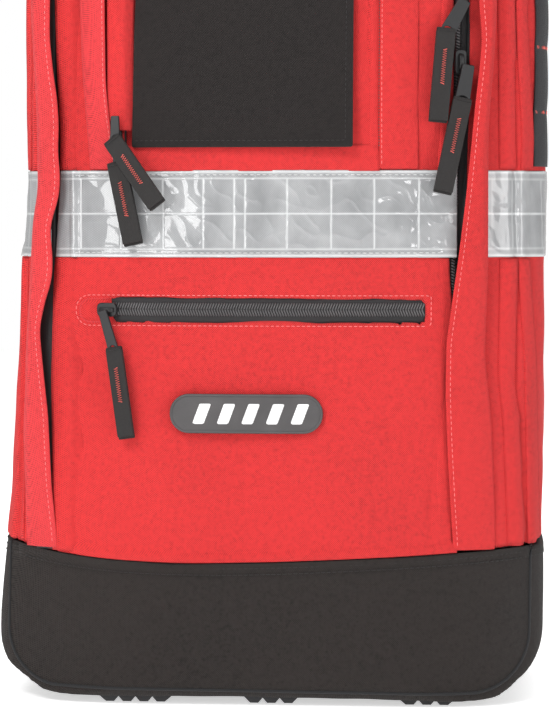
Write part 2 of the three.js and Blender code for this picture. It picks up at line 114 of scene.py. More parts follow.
def add_camera():
    data = bpy.data.cameras.new("camera")
    data.lens = CAMERA_LENS
    camera = new_object("camera", data)
    away = Vector((math.sin(CAMERA_TURN), -math.cos(CAMERA_TURN), 0)) * CAMERA_DISTANCE
    aim(camera, (Vector((*LOOK_AT[:2], CAMERA_HEIGHT)) + away) * MM, LOOK_AT)
    bpy.context.scene.camera = camera


def add_area_light(name, place, size, power):
    data = bpy.data.lights.new(name, "AREA")
    data.shape = "RECTANGLE"
    data.size, data.size_y = size[0] * MM, size[1] * MM
    data.energy = power
    aim(new_object(name, data), Vector(place) * MM, LIGHTS_LOOK_AT)


def show_backdrop_white(world):
    """The backdrop itself is pure white, brighter than the light that it gives."""
    tree = world.node_tree
    lamp = tree.nodes["Background"]
    white = tree.nodes.new("ShaderNodeBackground")
    white.inputs["Color"].default_value = (1, 1, 1, 1)
    white.inputs["Strength"].default_value = 1.0
    path = tree.nodes.new("ShaderNodeLightPath")
    mix = tree.nodes.new("ShaderNodeMixShader")
    tree.links.new(path.outputs["Is Camera Ray"], mix.inputs[0])
    tree.links.new(lamp.outputs[0], mix.inputs[1])
    tree.links.new(white.outputs[0], mix.inputs[2])
    tree.links.new(mix.outputs[0], tree.nodes["World Output"].inputs["Surface"])


def add_studio():
    scene = bpy.context.scene
    scene.view_settings.view_transform = "Standard"
    world = bpy.data.worlds.new("studio")
    scene.world = world
    world.use_nodes = True
    background = world.node_tree.nodes["Background"]
    background.inputs["Color"].default_value = (1, 1, 1, 1)
    background.inputs["Strength"].default_value = WORLD_LIGHT
    for light in LIGHTS:
        add_area_light(*light)
    show_backdrop_white(world)

    def level(u, v):
        return (u - 0.5) * FLOOR_SIZE, (v - 0.5) * FLOOR_SIZE, 0

    floor = mesh_piece("floor", *grid_mesh(9, 9, level))
    white = (1.0, 1.0, 1.0)
    graph = Graph("floor_paper", (0.9, 0.9, 0.9), 0.7, emission_color=white, emission_strength=0.55)
    graph.colour_by(graph.noise(6), [(0.3, (0.88, 0.88, 0.88)), (0.7, (0.92, 0.92, 0.92))])
    floor.data.materials.append(graph.material)
    floor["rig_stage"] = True


# ---- Mesh tools --------------------------------------------------


def mesh_piece(name, points, faces):
    """An object from points in millimetres."""
    data = bpy.data.meshes.new(name)
    data.from_pydata([tuple(c * MM for c in p) for p in points], [], [tuple(f) for f in faces])
    data.validate()
    smooth(data)
    return new_object(name, data)


def shifted(x, y, z):
    return Matrix.Translation(Vector((x, y, z)) * MM)


def smooth(data):
    data.polygons.foreach_set("use_smooth", [True] * len(data.polygons))


def smooth_by_angle(piece, degrees=40):
    smooth(piece.data)
    piece.data.set_sharp_from_angle(angle=math.radians(degrees))


def grid_mesh(columns, rows, place, wrap=False):
    """Points and faces of a grid whose points come from place(u, v), with u and v from 0 to 1."""
    points = []
    for j in range(rows + 1):
        for i in range(columns + (not wrap)):
            points.append(place(i / columns, j / rows))
    width = columns if wrap else columns + 1
    faces = []
    for j in range(rows):
        for i in range(columns):
            k = (i + 1) % width
            faces.append((j * width + i, j * width + k, (j + 1) * width + k, (j + 1) * width + i))
    return points, faces


kit = {}  # the materials, by the name of their look
trees = {}  # search trees of the finished shells


def finish_piece(piece, look, body, slot, *replaces):
    piece.data.materials.append(kit[look])
    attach(piece, body)
    if replaces:
        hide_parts(*replaces)
    return piece


def make(name, mesh, look, body, slot, *replaces):
    """A finished piece straight from its points and faces."""
    return finish_piece(mesh_piece(name, *mesh), look, body, slot, *replaces)


def apply_modifiers(piece):
    graph = bpy.context.evaluated_depsgraph_get()
    graph.update()
    made = bpy.data.meshes.new_from_object(piece.evaluated_get(graph))
    old = piece.data
    piece.modifiers.clear()
    piece.data = made
    bpy.data.meshes.remove(old)


def modify(piece, kind, **values):
    modifier = piece.modifiers.new(kind.lower(), kind)
    for key, value in values.items():
        setattr(modifier, key, value)


def thicken(piece, thick, offset=-1, levels=0):
    """Gives a sheet its thickness in millimetres, and softens its rim when levels are given."""
    modify(piece, "SOLIDIFY", thickness=thick * MM, offset=offset)
    if levels:
        modify(piece, "SUBSURF", levels=levels, render_levels=levels)
    apply_modifiers(piece)


def remeshed_copy(node, name, voxel, rounds):
    """A fine, even copy of a CAD node with its corners worn round."""
    piece = nodes[node].copy()
    piece.data = nodes[node].data.copy()
    piece.name = name
    piece.parent = None
    for key in [k for k in piece.keys() if k.startswith("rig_")]:
        del piece[key]
    piece.data.materials.clear()
    bpy.context.scene.collection.objects.link(piece)
    modify(piece, "REMESH", mode="VOXEL", voxel_size=voxel * MM)
    modify(piece, "SMOOTH", factor=0.5, iterations=rounds)
    apply_modifiers(piece)
    smooth(piece.data)
    return piece


def vertex_values(data, key):
    found = np.empty(len(data.vertices) * 3)
    data.vertices.foreach_get(key, found)
    return found.reshape(-1, 3)


def coordinates(piece):
    return vertex_values(piece.data, "co") / MM


def set_coordinates(piece, points):
    piece.data.vertices.foreach_set("co", (points * MM).ravel())
    piece.data.update()


def normals(piece):
    return vertex_values(piece.data, "normal")


def crumple(piece, layers, rule=None, middle=None):
    """Moves each point along its normal by layers of noise (size, height, seed) and by a rule of its place.
    Where middle is given the piece is a wall round it, and both of its faces move the same way."""
    points, out = coordinates(piece), normals(piece)
    inner = np.ones(len(points))
    if middle is not None:
        inner = np.where(((points - np.array(middle)) * out).sum(axis=1) < 0, -1.0, 1.0)
    move = np.zeros(len(points))
    for size, height, seed in layers:
        shift = Vector((seed * 7.3, seed * 3.1, seed * 5.7))
        move += height * np.array([noise.noise(Vector(p) / size + shift) for p in points])
    if rule is not None:
        move += rule(points, out)
    set_coordinates(piece, points + out * (move * inner)[:, None])


def tree_of(*pieces):
    """A search tree over several pieces, in millimetres."""
    points, faces = [], []
    for piece in pieces:
        start = len(points)
        points.extend(map(Vector, coordinates(piece)))
        faces.extend([tuple(start + i for i in p.vertices) for p in piece.data.polygons])
    return BVHTree.FromPolygons(points, faces)


def land(tree, x, z, lift=0.0):
    """Where a line from the front meets the surface, lifted off it, and the way that the surface faces."""
    place, facing, _, _ = tree.ray_cast(Vector((x, -400, z)), Vector((0, 1, 0)), 600)
    if place is None:
        place, facing = Vector((x, form_y(x, z), z)), Vector((0, -1, 0))
    if facing.y > 0:
        facing = -facing
    return place + facing * lift, facing


def settle(tree, place, facing, lift):
    """The place where a line from outside along the facing meets the surface, lifted off it."""
    place, facing = Vector(place), Vector(facing).normalized()
    hit, _, _, _ = tree.ray_cast(place + facing * 30, -facing, 60)
    if hit is None:
        hit = place
    return hit + facing * lift


def resample(points, step):
    """Evenly spaced points along a line of points."""
    points = np.array(points, float)
    run = np.concatenate([[0], np.cumsum(np.linalg.norm(np.diff(points, axis=0), axis=1))])
    count = max(int(round(run[-1] / step)), 2)
    at = np.linspace(0, run[-1], count + 1)
    return np.stack([np.interp(at, run, points[:, i]) for i in range(points.shape[1])], axis=1)


def divided(points, step, count):
    """A line of points, first spaced by step and then cut into count even parts."""
    run = resample(points, step)
    pick = np.linspace(0, len(run) - 1, count + 1)
    return [tuple(np.interp(i, range(len(run)), run[:, c]) for c in range(run.shape[1])) for i in pick]


def on_front(tree, line, step=3.0, lift=0.0):
    """A line of (x, z) points laid on the surface as seen from the front: its places and facings."""
    found = [land(tree, x, z, lift) for x, z in resample(line, step)]
    return [p for p, _ in found], [n for _, n in found]


def tube_mesh(places, radius, sides=8, closed=False):
    count = len(places)
    radii = radius if hasattr(radius, "__len__") else [radius] * count
    points, faces = [], []
    up = None
    for i, place in enumerate(places):
        ahead = places[(i + 1) % count] if closed or i < count - 1 else place
        behind = places[i - 1] if closed or i else place
        along = (Vector(ahead) - Vector(behind)).normalized()
        if up is None:
            up = along.orthogonal().normalized()
        up = (up - along * up.dot(along)).normalized()
        across = along.cross(up)
        for k in range(sides):
            angle = 2 * math.pi * k / sides
            points.append(Vector(place) + (up * math.cos(angle) + across * math.sin(angle)) * radii[i])
    for i in range(count if closed else count - 1):
        for k in range(sides):
            a, b = i * sides, (i + 1) % count * sides
            m = (k + 1) % sides
            faces.append((a + k, a + m, b + m, b + k))
    if not closed:
        faces.append(tuple(range(sides))[::-1])
        faces.append(tuple(range((count - 1) * sides, count * sides)))
    return points, faces


def joined(meshes):
    points, faces = [], []
    for some_points, some_faces in meshes:
        start = len(points)
        points.extend(some_points)
        faces.extend([tuple(start + i for i in f) for f in some_faces])
    return points, faces


def stitch_mesh(places, facings, pitch=3.2, length=2.3, radius=0.32, lift=0.1):
    """A row of thread stitches along a path: each dips into the cloth at both ends."""
    line = np.array([[*p, *n] for p, n in zip(places, facings)])
    run = np.concatenate([[0], np.cumsum(np.linalg.norm(np.diff(line[:, :3], axis=0), axis=1))])
    made = []
    for k in range(int(run[-1] / pitch)):
        start = (k + 0.5) * pitch - length / 2
        dots, radii = [], []
        for share, height, thick in ((0, -0.25, 0.6), (0.25, 0.12, 1), (0.75, 0.12, 1), (1, -0.25, 0.6)):
            at = start + share * length
            row = [np.interp(at, run, line[:, i]) for i in range(6)]
            dots.append(Vector(row[:3]) + Vector(row[3:]).normalized() * (height + lift))
            radii.append(radius * thick)
        made.append(tube_mesh(dots, radii, 5))
    return joined(made)


def bartack_mesh(start, end, facing, width=1.6, turns=14, radius=0.26, lift=0.2):
    """A dense zigzag of thread between two points."""
    start, end, facing = Vector(start), Vector(end), Vector(facing).normalized()
    across = (end - start).cross(facing).normalized() * width / 2
    dots = []
    for k in range(turns * 2 + 1):
        side = across if k % 2 else -across
        dots.append(start.lerp(end, k / (turns * 2)) + side + facing * lift)
    return tube_mesh(dots, radius, 5)


def ribbon_mesh(places, facings, width, thick, rows=6):
    """A flat strap with rounded edges along a path: facings are the way its face looks."""
    points, faces = [], []
    count = len(places)
    spots = [k / rows * 2 - 1 for k in range(rows + 1)]
    profile = [(u * width / 2, thick / 2 * (1 - 0.35 * abs(u) ** 6)) for u in spots]
    profile += [(u * width / 2 * 0.985, -thick / 2 * (1 - 0.35 * abs(u) ** 6)) for u in reversed(spots)]
    size = len(profile)
    for i, place in enumerate(places):
        along = (Vector(places[min(i + 1, count - 1)]) - Vector(places[max(i - 1, 0)])).normalized()
        facing = Vector(facings[i])
        facing = (facing - along * facing.dot(along)).normalized()
        across = along.cross(facing)
        points.extend([Vector(place) + across * u + facing * v for u, v in profile])
    for i in range(count - 1):
        for k in range(size):
            m = (k + 1) % size
            faces.append((i * size + k, i * size + m, (i + 1) * size + m, (i + 1) * size + k))
    faces.append(tuple(range(size))[::-1])
    faces.append(tuple(range((count - 1) * size, count * size)))
    return points, faces


def plate_piece(name, rings, thick, bevel, matrix=None):
    """A flat plate with rounded edges from 2-D outlines, the first its rim and the rest its holes."""
    curve = bpy.data.curves.new(name, "CURVE")
    curve.dimensions = "2D"
    curve.fill_mode = "BOTH"
    curve.extrude = max(thick / 2 - bevel, 0.01) * MM
    curve.bevel_depth = bevel * MM
    curve.bevel_resolution = 2
    curve.offset = -bevel * MM
    for ring in rings:
        spline = curve.splines.new("POLY")
        spline.points.add(len(ring) - 1)
        spline.points.foreach_set("co", [c for x, y in ring for c in (x * MM, y * MM, 0, 1)])
        spline.use_cyclic_u = True
    shape = new_object(name, curve)
    graph = bpy.context.evaluated_depsgraph_get()
    data = bpy.data.meshes.new_from_object(shape.evaluated_get(graph))
    bpy.data.objects.remove(shape)
    if matrix is not None:
        data.transform(matrix)
    return new_object(name, data)


def ring(corners, steps=5):
    """A closed 2-D outline through (x, y, radius) corners."""
    made = []
    count = len(corners)
    for i, (x, y, radius) in enumerate(corners):
        corner = Vector((x, y))
        back = (Vector(corners[i - 1][:2]) - corner).normalized()
        on = (Vector(corners[(i + 1) % count][:2]) - corner).normalized()
        if radius <= 0:
            made.append((x, y))
            continue
        half = back.angle(on) / 2
        reach = radius / math.tan(half)
        centre = corner + (back + on).normalized() * radius / math.sin(half)
        start, end = corner + back * reach - centre, corner + on * reach - centre
        sweep = start.angle(end)
        if start.x * end.y - start.y * end.x < 0:
            sweep = -sweep
        first = math.atan2(start.y, start.x)
        for k in range(steps + 1):
            angle = first + sweep * k / steps
            made.append((centre.x + radius * math.cos(angle), centre.y + radius * math.sin(angle)))
    return made


def box_ring(x0, y0, x1, y1, radius, steps=5):
    return ring([(x0, y0, radius), (x1, y0, radius), (x1, y1, radius), (x0, y1, radius)], steps)


def oval(x, y, width, height, steps=20):
    turn = [2 * math.pi * k / steps for k in range(steps)]
    return [(x + width / 2 * math.cos(a), y + height / 2 * math.sin(a)) for a in turn]


def join_pieces(name, pieces):
    """One object from several, keeping their materials."""
    with bpy.context.temp_override(active_object=pieces[0], selected_editable_objects=pieces):
        bpy.ops.object.join()
    pieces[0].name = name
    return pieces[0]


# ---- The body's form ---------------------------------------------


def at_height(z, bottom, top):
    return bottom + (top - bottom) * (z - BODY_BOTTOM) / (BODY_TOP - BODY_BOTTOM)


def form_y(x, z, lift=0.0):
    """How far forward the form lies when grown by lift."""
    across = abs(x - at_height(z, MIDDLE_BOTTOM, MIDDLE_TOP)) / (at_height(z, HALF_BOTTOM, HALF_TOP) + lift)
    bulge = (SIDE_Y - FRONT_Y + lift) * (1 - min(across, 1) ** BULGE_POWER) ** (1 / BULGE_POWER)
    lean = max(z - LEAN_FROM, 0) * LEAN / (BODY_TOP - LEAN_FROM)
    return max(SIDE_Y - bulge, FRONT_Y - lift + lean)


def smoothstep(t):
    t = np.clip(t, 0, 1)
    return t * t * (3 - 2 * t)


# ---- Materials ---------------------------------------------------


class Graph:
    """A material whose colour, roughness and bump come from nodes that read the piece's own coordinates."""

    def __init__(self, name, colour, roughness, **values):
        self.material = bpy.data.materials.new(name)
        self.material.use_nodes = True
        self.nodes = self.material.node_tree.nodes
        self.links = self.material.node_tree.links
        self.shader = self.nodes["Principled BSDF"]
        self.place = self.nodes.new("ShaderNodeTexCoord").outputs["Object"]
        self.shader.inputs["Base Color"].default_value = (*colour, 1)
        self.shader.inputs["Roughness"].default_value = roughness
        self.normal = None
        for key, value in values.items():
            socket = self.shader.inputs[key.replace("_", " ").title().replace("Ior", "IOR")]
            socket.default_value = (*value, 1) if isinstance(value, tuple) else value

    def mapped(self, scale):
        node = self.nodes.new("ShaderNodeMapping")
        node.inputs["Scale"].default_value = scale
        self.links.new(self.place, node.inputs["Vector"])
        return node.outputs["Vector"]

    def noise(self, size, detail=2.0, scale=(1, 1, 1)):
        """Noise whose blobs are about size millimetres, stretched by scale."""
        node = self.nodes.new("ShaderNodeTexNoise")
        node.inputs["Scale"].default_value = 1 / (size * MM)
        node.inputs["Detail"].default_value = detail
        self.links.new(self.mapped(scale), node.inputs["Vector"])
        return node.outputs["Fac"]

    def wave(self, pitch, direction, mirrored=False, distortion=0.0):
        """Bands of threads: pitch is in millimetres along each axis that the direction crosses."""
        node = self.nodes.new("ShaderNodeTexWave")
        node.wave_type = "BANDS"
        node.bands_direction = direction
        per_unit = 10 if direction == "DIAGONAL" else 20
        node.inputs["Scale"].default_value = 2 * math.pi / (per_unit * pitch * MM)
        node.inputs["Distortion"].default_value = distortion
        self.links.new(self.mapped((1, 1, -1 if mirrored else 1)), node.inputs["Vector"])
        return node.outputs["Fac"]

    def math(self, operation, a, b):
        node = self.nodes.new("ShaderNodeMath")
        node.operation = operation
        for socket, value in zip(node.inputs, (a, b)):
            if isinstance(value, (int, float)):
                socket.default_value = value
            else:
                self.links.new(value, socket)
        return node.outputs[0]

    def total(self, *shares):
        """The sum of some values, each times its own share."""
        made = None
        for value, share in shares:
            part = self.math("MULTIPLY", value, share)
            made = part if made is None else self.math("ADD", made, part)
        return made

    def ramp(self, value, stops):
        node = self.nodes.new("ShaderNodeValToRGB")
        elements = node.color_ramp.elements
        while len(elements) < len(stops):
            elements.new(0.5)
        for element, (position, colour) in zip(elements, stops):
            element.position = position
            element.color = (*colour, 1)
        self.links.new(value, node.inputs["Fac"])
        return node.outputs["Color"]

    def mix(self, share, a, b):
        node = self.nodes.new("ShaderNodeMix")
        node.data_type = "RGBA"
        for socket, value in ((node.inputs["Factor"], share), (node.inputs[6], a), (node.inputs[7], b)):
            if isinstance(value, tuple):
                socket.default_value = (*value, 1)
            elif isinstance(value, (int, float)):
                socket.default_value = value
            else:
                self.links.new(value, socket)
        return node.outputs[2]

    def attribute(self, name):
        node = self.nodes.new("ShaderNodeAttribute")
        node.attribute_name = name
        return node.outputs["Fac"]

    def colour(self, value):
        self.links.new(value, self.shader.inputs["Base Color"])

    def colour_by(self, value, stops):
        self.colour(self.ramp(value, stops))

    def roughness_by(self, value, low, high):
        rough = self.math("ADD", self.math("MULTIPLY", value, high - low), low)
        self.links.new(rough, self.shader.inputs["Roughness"])

    def bump(self, height, depth):
        node = self.nodes.new("ShaderNodeBump")
        node.inputs["Distance"].default_value = depth * MM
        node.inputs["Strength"].default_value = 1
        self.links.new(height, node.inputs["Height"])
        if self.normal is not None:
            self.links.new(self.normal, node.inputs["Normal"])
        self.normal = node.outputs["Normal"]
        self.links.new(self.normal, self.shader.inputs["Normal"])


def shade(colour, share):
    return tuple(c * share for c in colour)


def woven(name, colour, pitch, depth, light=1.25, dark=0.66, rough=0.85, sheen=0.04, tint=(1, 1, 1)):
    """Plain woven cloth: two crossing sets of threads, uneven yarn, and soft blotches of wear."""
    graph = Graph(name, colour, rough, sheen_weight=sheen, sheen_roughness=0.45, sheen_tint=tint,
                  specular_ior_level=0.22)
    warp = graph.wave(pitch, "DIAGONAL", distortion=0.6)
    weft = graph.wave(pitch, "DIAGONAL", mirrored=True, distortion=0.6)
    yarn = graph.noise(pitch * 1.3, 3)
    cloth = graph.math("MULTIPLY", graph.math("MAXIMUM", warp, weft), graph.math("ADD", yarn, 0.5))
    mottle = graph.noise(pitch * 2.2, 2)
    blotch = graph.noise(70, 3)
    tone = graph.total((cloth, 0.45), (mottle, 0.45), (blotch, 0.25))
    graph.colour_by(tone, [(0.4, shade(colour, dark)), (0.56, colour), (0.74, shade(colour, light))])
    graph.roughness_by(blotch, rough - 0.08, rough + 0.1)
    graph.bump(cloth, depth)
    return graph.material


def strap_weave(name, colour, pitch=1.1, depth=0.25, rough=0.62):
    """Narrow webbing, ribbed across its length."""
    graph = Graph(name, colour, rough, sheen_weight=0.05, sheen_roughness=0.5, specular_ior_level=0.3)
    warp = graph.wave(pitch, "DIAGONAL")
    weft = graph.wave(pitch, "DIAGONAL", mirrored=True)
    cloth = graph.math("MAXIMUM", warp, weft)
    yarn = graph.noise(1.2, 3)
    tone = graph.total((cloth, 0.6), (yarn, 0.4))
    graph.colour_by(tone, [(0.25, shade(colour, 0.6)), (0.6, colour), (0.9, shade(colour, 1.7))])
    graph.bump(cloth, depth)
    return graph.material


def spacer_mesh(name, colour):
    """Open hexagonal air mesh over foam."""
    graph = Graph(name, colour, 0.85, sheen_weight=0.12, sheen_roughness=0.6, specular_ior_level=0.25)
    cells = graph.nodes.new("ShaderNodeTexVoronoi")
    cells.inputs["Scale"].default_value = 1 / (2.6 * MM)
    cells.inputs["Randomness"].default_value = 0.25
    graph.links.new(graph.place, cells.inputs["Vector"])
    holes = cells.outputs["Distance"]
    fuzz = graph.noise(0.8, 3)
    graph.colour_by(holes, [(0.12, shade(colour, 0.3)), (0.4, colour), (0.75, shade(colour, 1.9))])
    graph.bump(graph.math("ADD", holes, graph.math("MULTIPLY", fuzz, 0.3)), 0.9)
    return graph.material


def moulded(name, colour, rough, grain=0.5, depth=0.06, **values):
    """Moulded plastic, rubber or painted metal: fine grain, and a worn tone on it."""
    graph = Graph(name, colour, rough, **values)
    fine = graph.noise(grain, 3)
    wide = graph.noise(14, 3)
    tone = graph.total((fine, 0.4), (wide, 0.6))
    graph.colour_by(tone, [(0.3, shade(colour, 0.75)), (0.55, colour), (0.75, shade(colour, 1.35))])
    graph.roughness_by(wide, rough - 0.07, rough + 0.12)
    graph.bump(fine, depth)
    return graph.material


RED = (0.61, 0.033, 0.034)
# The same red cloth painted lighter and pinker: painted light, standing in for the light from the left on
# the left flaps.
PAINTED_LIGHT_RED = (0.6, 0.041, 0.046)
BLACK = (0.0178, 0.0146, 0.0134)
SOFTSHELL = (0.0125, 0.0102, 0.0098)
STITCH_RED = (0.9, 0.16, 0.13)


def prismatic_tape():
    """Clear film over a field of tiny prisms, with weld lines given by the weld attribute of the mesh."""
    graph = Graph("prismatic_tape", (0.3, 0.31, 0.32), 0.34, coat_weight=0.8, coat_roughness=0.05)
    prisms = graph.math("MULTIPLY", graph.wave(1.3, "DIAGONAL"), graph.wave(1.3, "DIAGONAL", mirrored=True))
    streaks = graph.noise(16, 4, (1, 1, 0.6))
    weld = graph.attribute("weld")
    tone = graph.total((prisms, 0.25), (streaks, 0.9))
    greys = [(0.3, (0.2, 0.205, 0.21)), (0.55, (0.27, 0.275, 0.28)), (0.85, (0.38, 0.385, 0.39))]
    field = graph.ramp(tone, greys)
    graph.colour(graph.mix(weld, field, (0.56, 0.57, 0.575)))
    graph.bump(prisms, 0.05)
    graph.bump(streaks, 0.5)
    return graph.material


def make_materials():
    return {
        "red": woven("red_cordura", RED, 1.25, 0.5, tint=(1, 0.75, 0.75)),
        # the red cloth with painted light: lighter and pinker, as if lit from the left
        "painted_light_red": woven("red_cordura_painted_light", PAINTED_LIGHT_RED, 1.1, 0.35, sheen=0.08, tint=(1, 0.8, 0.8)),
        "black": woven("black_cordura", BLACK, 1.25, 0.5, light=1.9, dark=0.45),
        "softshell": woven("softshell", SOFTSHELL, 1.4, 0.3, light=1.6, dark=0.6, sheen=0.08),
        "lining": woven("ripstop_lining", (0.3, 0.31, 0.33), 2.4, 0.12, rough=0.6, sheen=0.1),
        "webbing": strap_weave("webbing", (0.018, 0.018, 0.02)),
        "grip": strap_weave("grip_webbing", (0.015, 0.0135, 0.013), 0.9, 0.15),
        "air": spacer_mesh("air_mesh", (0.03, 0.03, 0.033)),
        "binding": strap_weave("edge_binding", (0.012, 0.012, 0.013), 0.8, 0.15),
        "coil": moulded("zip_coil", (0.085, 0.08, 0.082), 0.36, 0.6),
        "tape": strap_weave("zip_tape", (0.02, 0.019, 0.02), 0.9, 0.18),
        "metal": moulded("slider_metal", (0.012, 0.012, 0.013), 0.38, 0.9, 0.02, specular_ior_level=0.35),
        "nylon": moulded("buckle_nylon", (0.016, 0.016, 0.018), 0.34, 0.4, 0.03),
        "rubber": moulded("foot_rubber", (0.035, 0.034, 0.036), 0.62, 0.5, 0.08),
        "badge": moulded("badge_rubber", (0.06, 0.056, 0.057), 0.5, 0.4, 0.04),
        "badge_white": moulded("badge_white", (0.82, 0.82, 0.82), 0.5, 0.4, 0.03),
        "hdpe": moulded("hdpe_sheet", (0.66, 0.67, 0.65), 0.42, 1.2, 0.04),
        "alloy": moulded("alloy_bar", (0.5, 0.51, 0.52), 0.35, 0.5, 0.03, metallic=0.9),
        "red_thread": moulded("red_thread", STITCH_RED, 0.6, 0.3, 0.03),
        "pale_thread": moulded("pale_red_thread", (0.86, 0.2, 0.2), 0.6, 0.3, 0.03),
        "dark_thread": moulded("black_thread", (0.018, 0.016, 0.016), 0.6, 0.3, 0.03),
        "clear_thread": moulded("grey_thread", (0.55, 0.56, 0.56), 0.5, 0.3, 0.03),
        "tape_film": prismatic_tape(),
    }


# ---- Shells ------------------------------------------------------


def dress_shell(piece, look, body, node, lined):
    """Cloth outside, and lining on the faces that the rule named lined picks out."""
    finish_piece(piece, look, body, f"{look}_cordura", node)
    piece.data.materials.append(kit["lining"])
    for polygon in piece.data.polygons:
        polygon.material_index = int(lined(polygon))


def facing_in(middle):
    """A rule that picks the faces that look in towards a middle."""
    middle = Vector(middle) * MM
    return lambda polygon: polygon.normal.dot(polygon.center - middle) < -0.03 and polygon.center.z > 0.1


def tuck(points, line, depth, width, low=-1e3, high=1e3):
    """A sewn valley down the front: its place in x is given by (z, x) points."""
    z = points[:, 2]
    at = np.interp(z, [p[0] for p in line], [p[1] for p in line])
    across = points[:, 0] - at
    inside = smoothstep((z - low) / 10) * smoothstep((high - z) / 10)
    ridge = 0.5 * np.exp(-(((np.abs(across) - 2.6 * width) / (1.6 * width)) ** 2))
    return depth * inside * (ridge - np.exp(-((across / width) ** 2)))


SEAM_CURVE = (2.7, -5.41, 5.7, 5.2, -6.98)  # a polynomial in x / SEAM_REACH
SEAM_REACH = 155
BULGE_HEIGHTS = (50, 66, 95, 130, 170, 250, 260, 270, 305, 330, 409)
BULGE_MOVES = (-5, -4.2, -2, 0.5, 2, 2.8, 3.2, 5.4, 6.6, 6.3, 4)


def seam_dip(x):
    """The top edge of the boot hangs in the middle, most of all on the left, and rises to the sides."""
    return np.polyval(SEAM_CURVE, np.asarray(x) / SEAM_REACH)


def shape_piece(piece, weight):
    """Moves a shell by the dip of the boot seam, by the sag of the boot's front rim and corners, and by the
    packed bag's bulge on its left side."""
    points = coordinates(piece)
    points[:, 2] += seam_dip(points[:, 0]) * weight(points[:, 2])
    rim = smoothstep((-88 - points[:, 1]) / 24) * smoothstep((36 - points[:, 2]) / 20)
    points[:, 2] -= (5.4 + 0.7 * points[:, 0] / 150) * rim
    corner = smoothstep((np.abs(points[:, 0]) - 112) / 34) * smoothstep((62 - points[:, 2]) / 40) * rim
    points[:, 0] += 2.6 * np.sign(points[:, 0]) * corner
    points[:, 2] -= 1.6 * corner
    bulge = np.interp(points[:, 2], BULGE_HEIGHTS, BULGE_MOVES)
    points[:, 0] += bulge * smoothstep((-138 - points[:, 0]) / 16)
    set_coordinates(piece, points)


def seam_top(x):
    """Just above the seam of the boot, where the hems and flaps end."""
    return HINGE_Z + 0.8 + float(seam_dip(x))


def below_seam(z):
    return smoothstep((z - 60) / 32)


def above_seam(z):
    return smoothstep((140 - z) / 48)


def add_shells():
    shell = remeshed_copy("main_shell", "shell_red", 2.4, 5)
    right_tuck = [(92, 147), (166, 144), (190, 141), (265, 142), (480, 139)]
    second_tuck = [(92, 156), (200, 154), (260, 149), (330, 152), (400, 147), (480, 151)]
    left_tuck = [(92, -149), (300, -146), (480, -143)]

    def folds(points, out):
        front = smoothstep((-points[:, 1] - 60) / 12)
        lines = tuck(points, right_tuck, 1.5, 1.6) + tuck(points, second_tuck, 0.9, 2.4)
        return front * (lines + tuck(points, left_tuck, 1.3, 1.6))

    crumple(shell, [(60, 1.5, 1), (26, 0.5, 2)], folds, INSIDE)
    shape_piece(shell, above_seam)
    dress_shell(shell, "red", "bag", "main_shell", facing_in(INSIDE))

    boot = remeshed_copy("base_boot", "boot_black", 2.4, 5)
    crumple(boot, [(70, 1.2, 3), (24, 0.35, 4)], None, INSIDE)
    shape_piece(boot, below_seam)
    dress_shell(boot, "black", "bag", "base_boot", facing_in(INSIDE_LOW))

    back = remeshed_copy("back_panel", "back_cover", 2.6, 4)
    crumple(back, [(50, 0.9, 5)])
    shape_piece(back, np.zeros_like)
    dress_shell(back, "black", "bag", "back_panel", lambda polygon: polygon.normal.y < -0.5)

    door = remeshed_copy("door_shell", "door_red", 1.9, 4)

    def inside_door(polygon):
        place = polygon.center / MM
        inner = place.y > form_y(place.x, place.z) + 6 and abs(place.x) < 97
        return polygon.normal.y > 0.4 or (inner and place.z < 527)

    def puckers(points, out):
        x, z = points[:, 0], points[:, 2]
        front = smoothstep((-points[:, 1] - 66) / 12)
        seam = np.exp(-(((z - 237) / 1.5) ** 2)) * ((x < -92) | (x > 91))
        fold = np.sin((x * 0.75 + z) / 11 + 1.4 * np.sin(z / 31)) * smoothstep((-40 - x) / 60)
        fold = fold * smoothstep((235 - z) / 25) * smoothstep((z - 96) / 18)
        garage = smoothstep((-93 - x) / 2) * smoothstep((x + 113) / 4) * smoothstep(1 - abs(z - 230) / 9)
        side = tuck(points, [(92, 93), (300, 94)], 0.7, 1.6, 96, 130)
        return front * (0.9 * fold - 0.9 * seam + 0.9 * garage + side)

    crumple(door, [(95, 3.0, 12), (48, 1.9, 6), (21, 0.4, 7)], puckers, INSIDE)
    shape_piece(door, above_seam)
    dress_shell(door, "red", "door", "door_shell", inside_door)

    panel = remeshed_copy("compartment_panel", "panel_red", 1.9, 4)
    crumple(panel, [(46, 1.3, 8), (20, 0.4, 9)], None, INSIDE)
    dress_shell(panel, "red", "front_panel", "compartment_panel", lambda polygon: polygon.normal.y > 0.4)
    trees["door"] = tree_of(door)
    trees["bag"] = tree_of(shell, boot)


def add_boot_details():
    """The seam cord round the front of the boot, and two rows of stitches under its top edge."""
    line = ring([(-156, 104, 0), (-157, 10.5, 32), (150, 8, 34), (151, 104, 0)], 12)
    places, _ = on_front(trees["bag"], line, 3.0, 0.1)
    for place in places:
        place.z = min(place.z, HINGE_Z - 1.4 + float(seam_dip(place.x)))
    make("boot_seam_cord", tube_mesh(places, 0.95, 8), "binding", "bag", "black_cordura")
    rows = []
    for drop in (3.4, 6.8):
        line = [(x, HINGE_Z - drop + float(seam_dip(x))) for x in range(-146, 147, 4)]
        rows.append(stitch_mesh(*on_front(trees["bag"], line, 3.0), lift=0.9))
        for sign in (-1, 1):
            z = HINGE_Z - drop + float(seam_dip(sign * 152))
            side = side_curve(sign, z, sign * 147, 60)
            facings = [side_facing(side, i, sign) for i in range(len(side))]
            places = [settle(trees["bag"], p, n, 0.0) for p, n in zip(side, facings)]
            rows.append(stitch_mesh(places, facings, lift=0.05))
    make("boot_stitches", joined(rows), "dark_thread", "bag", "black_cordura")


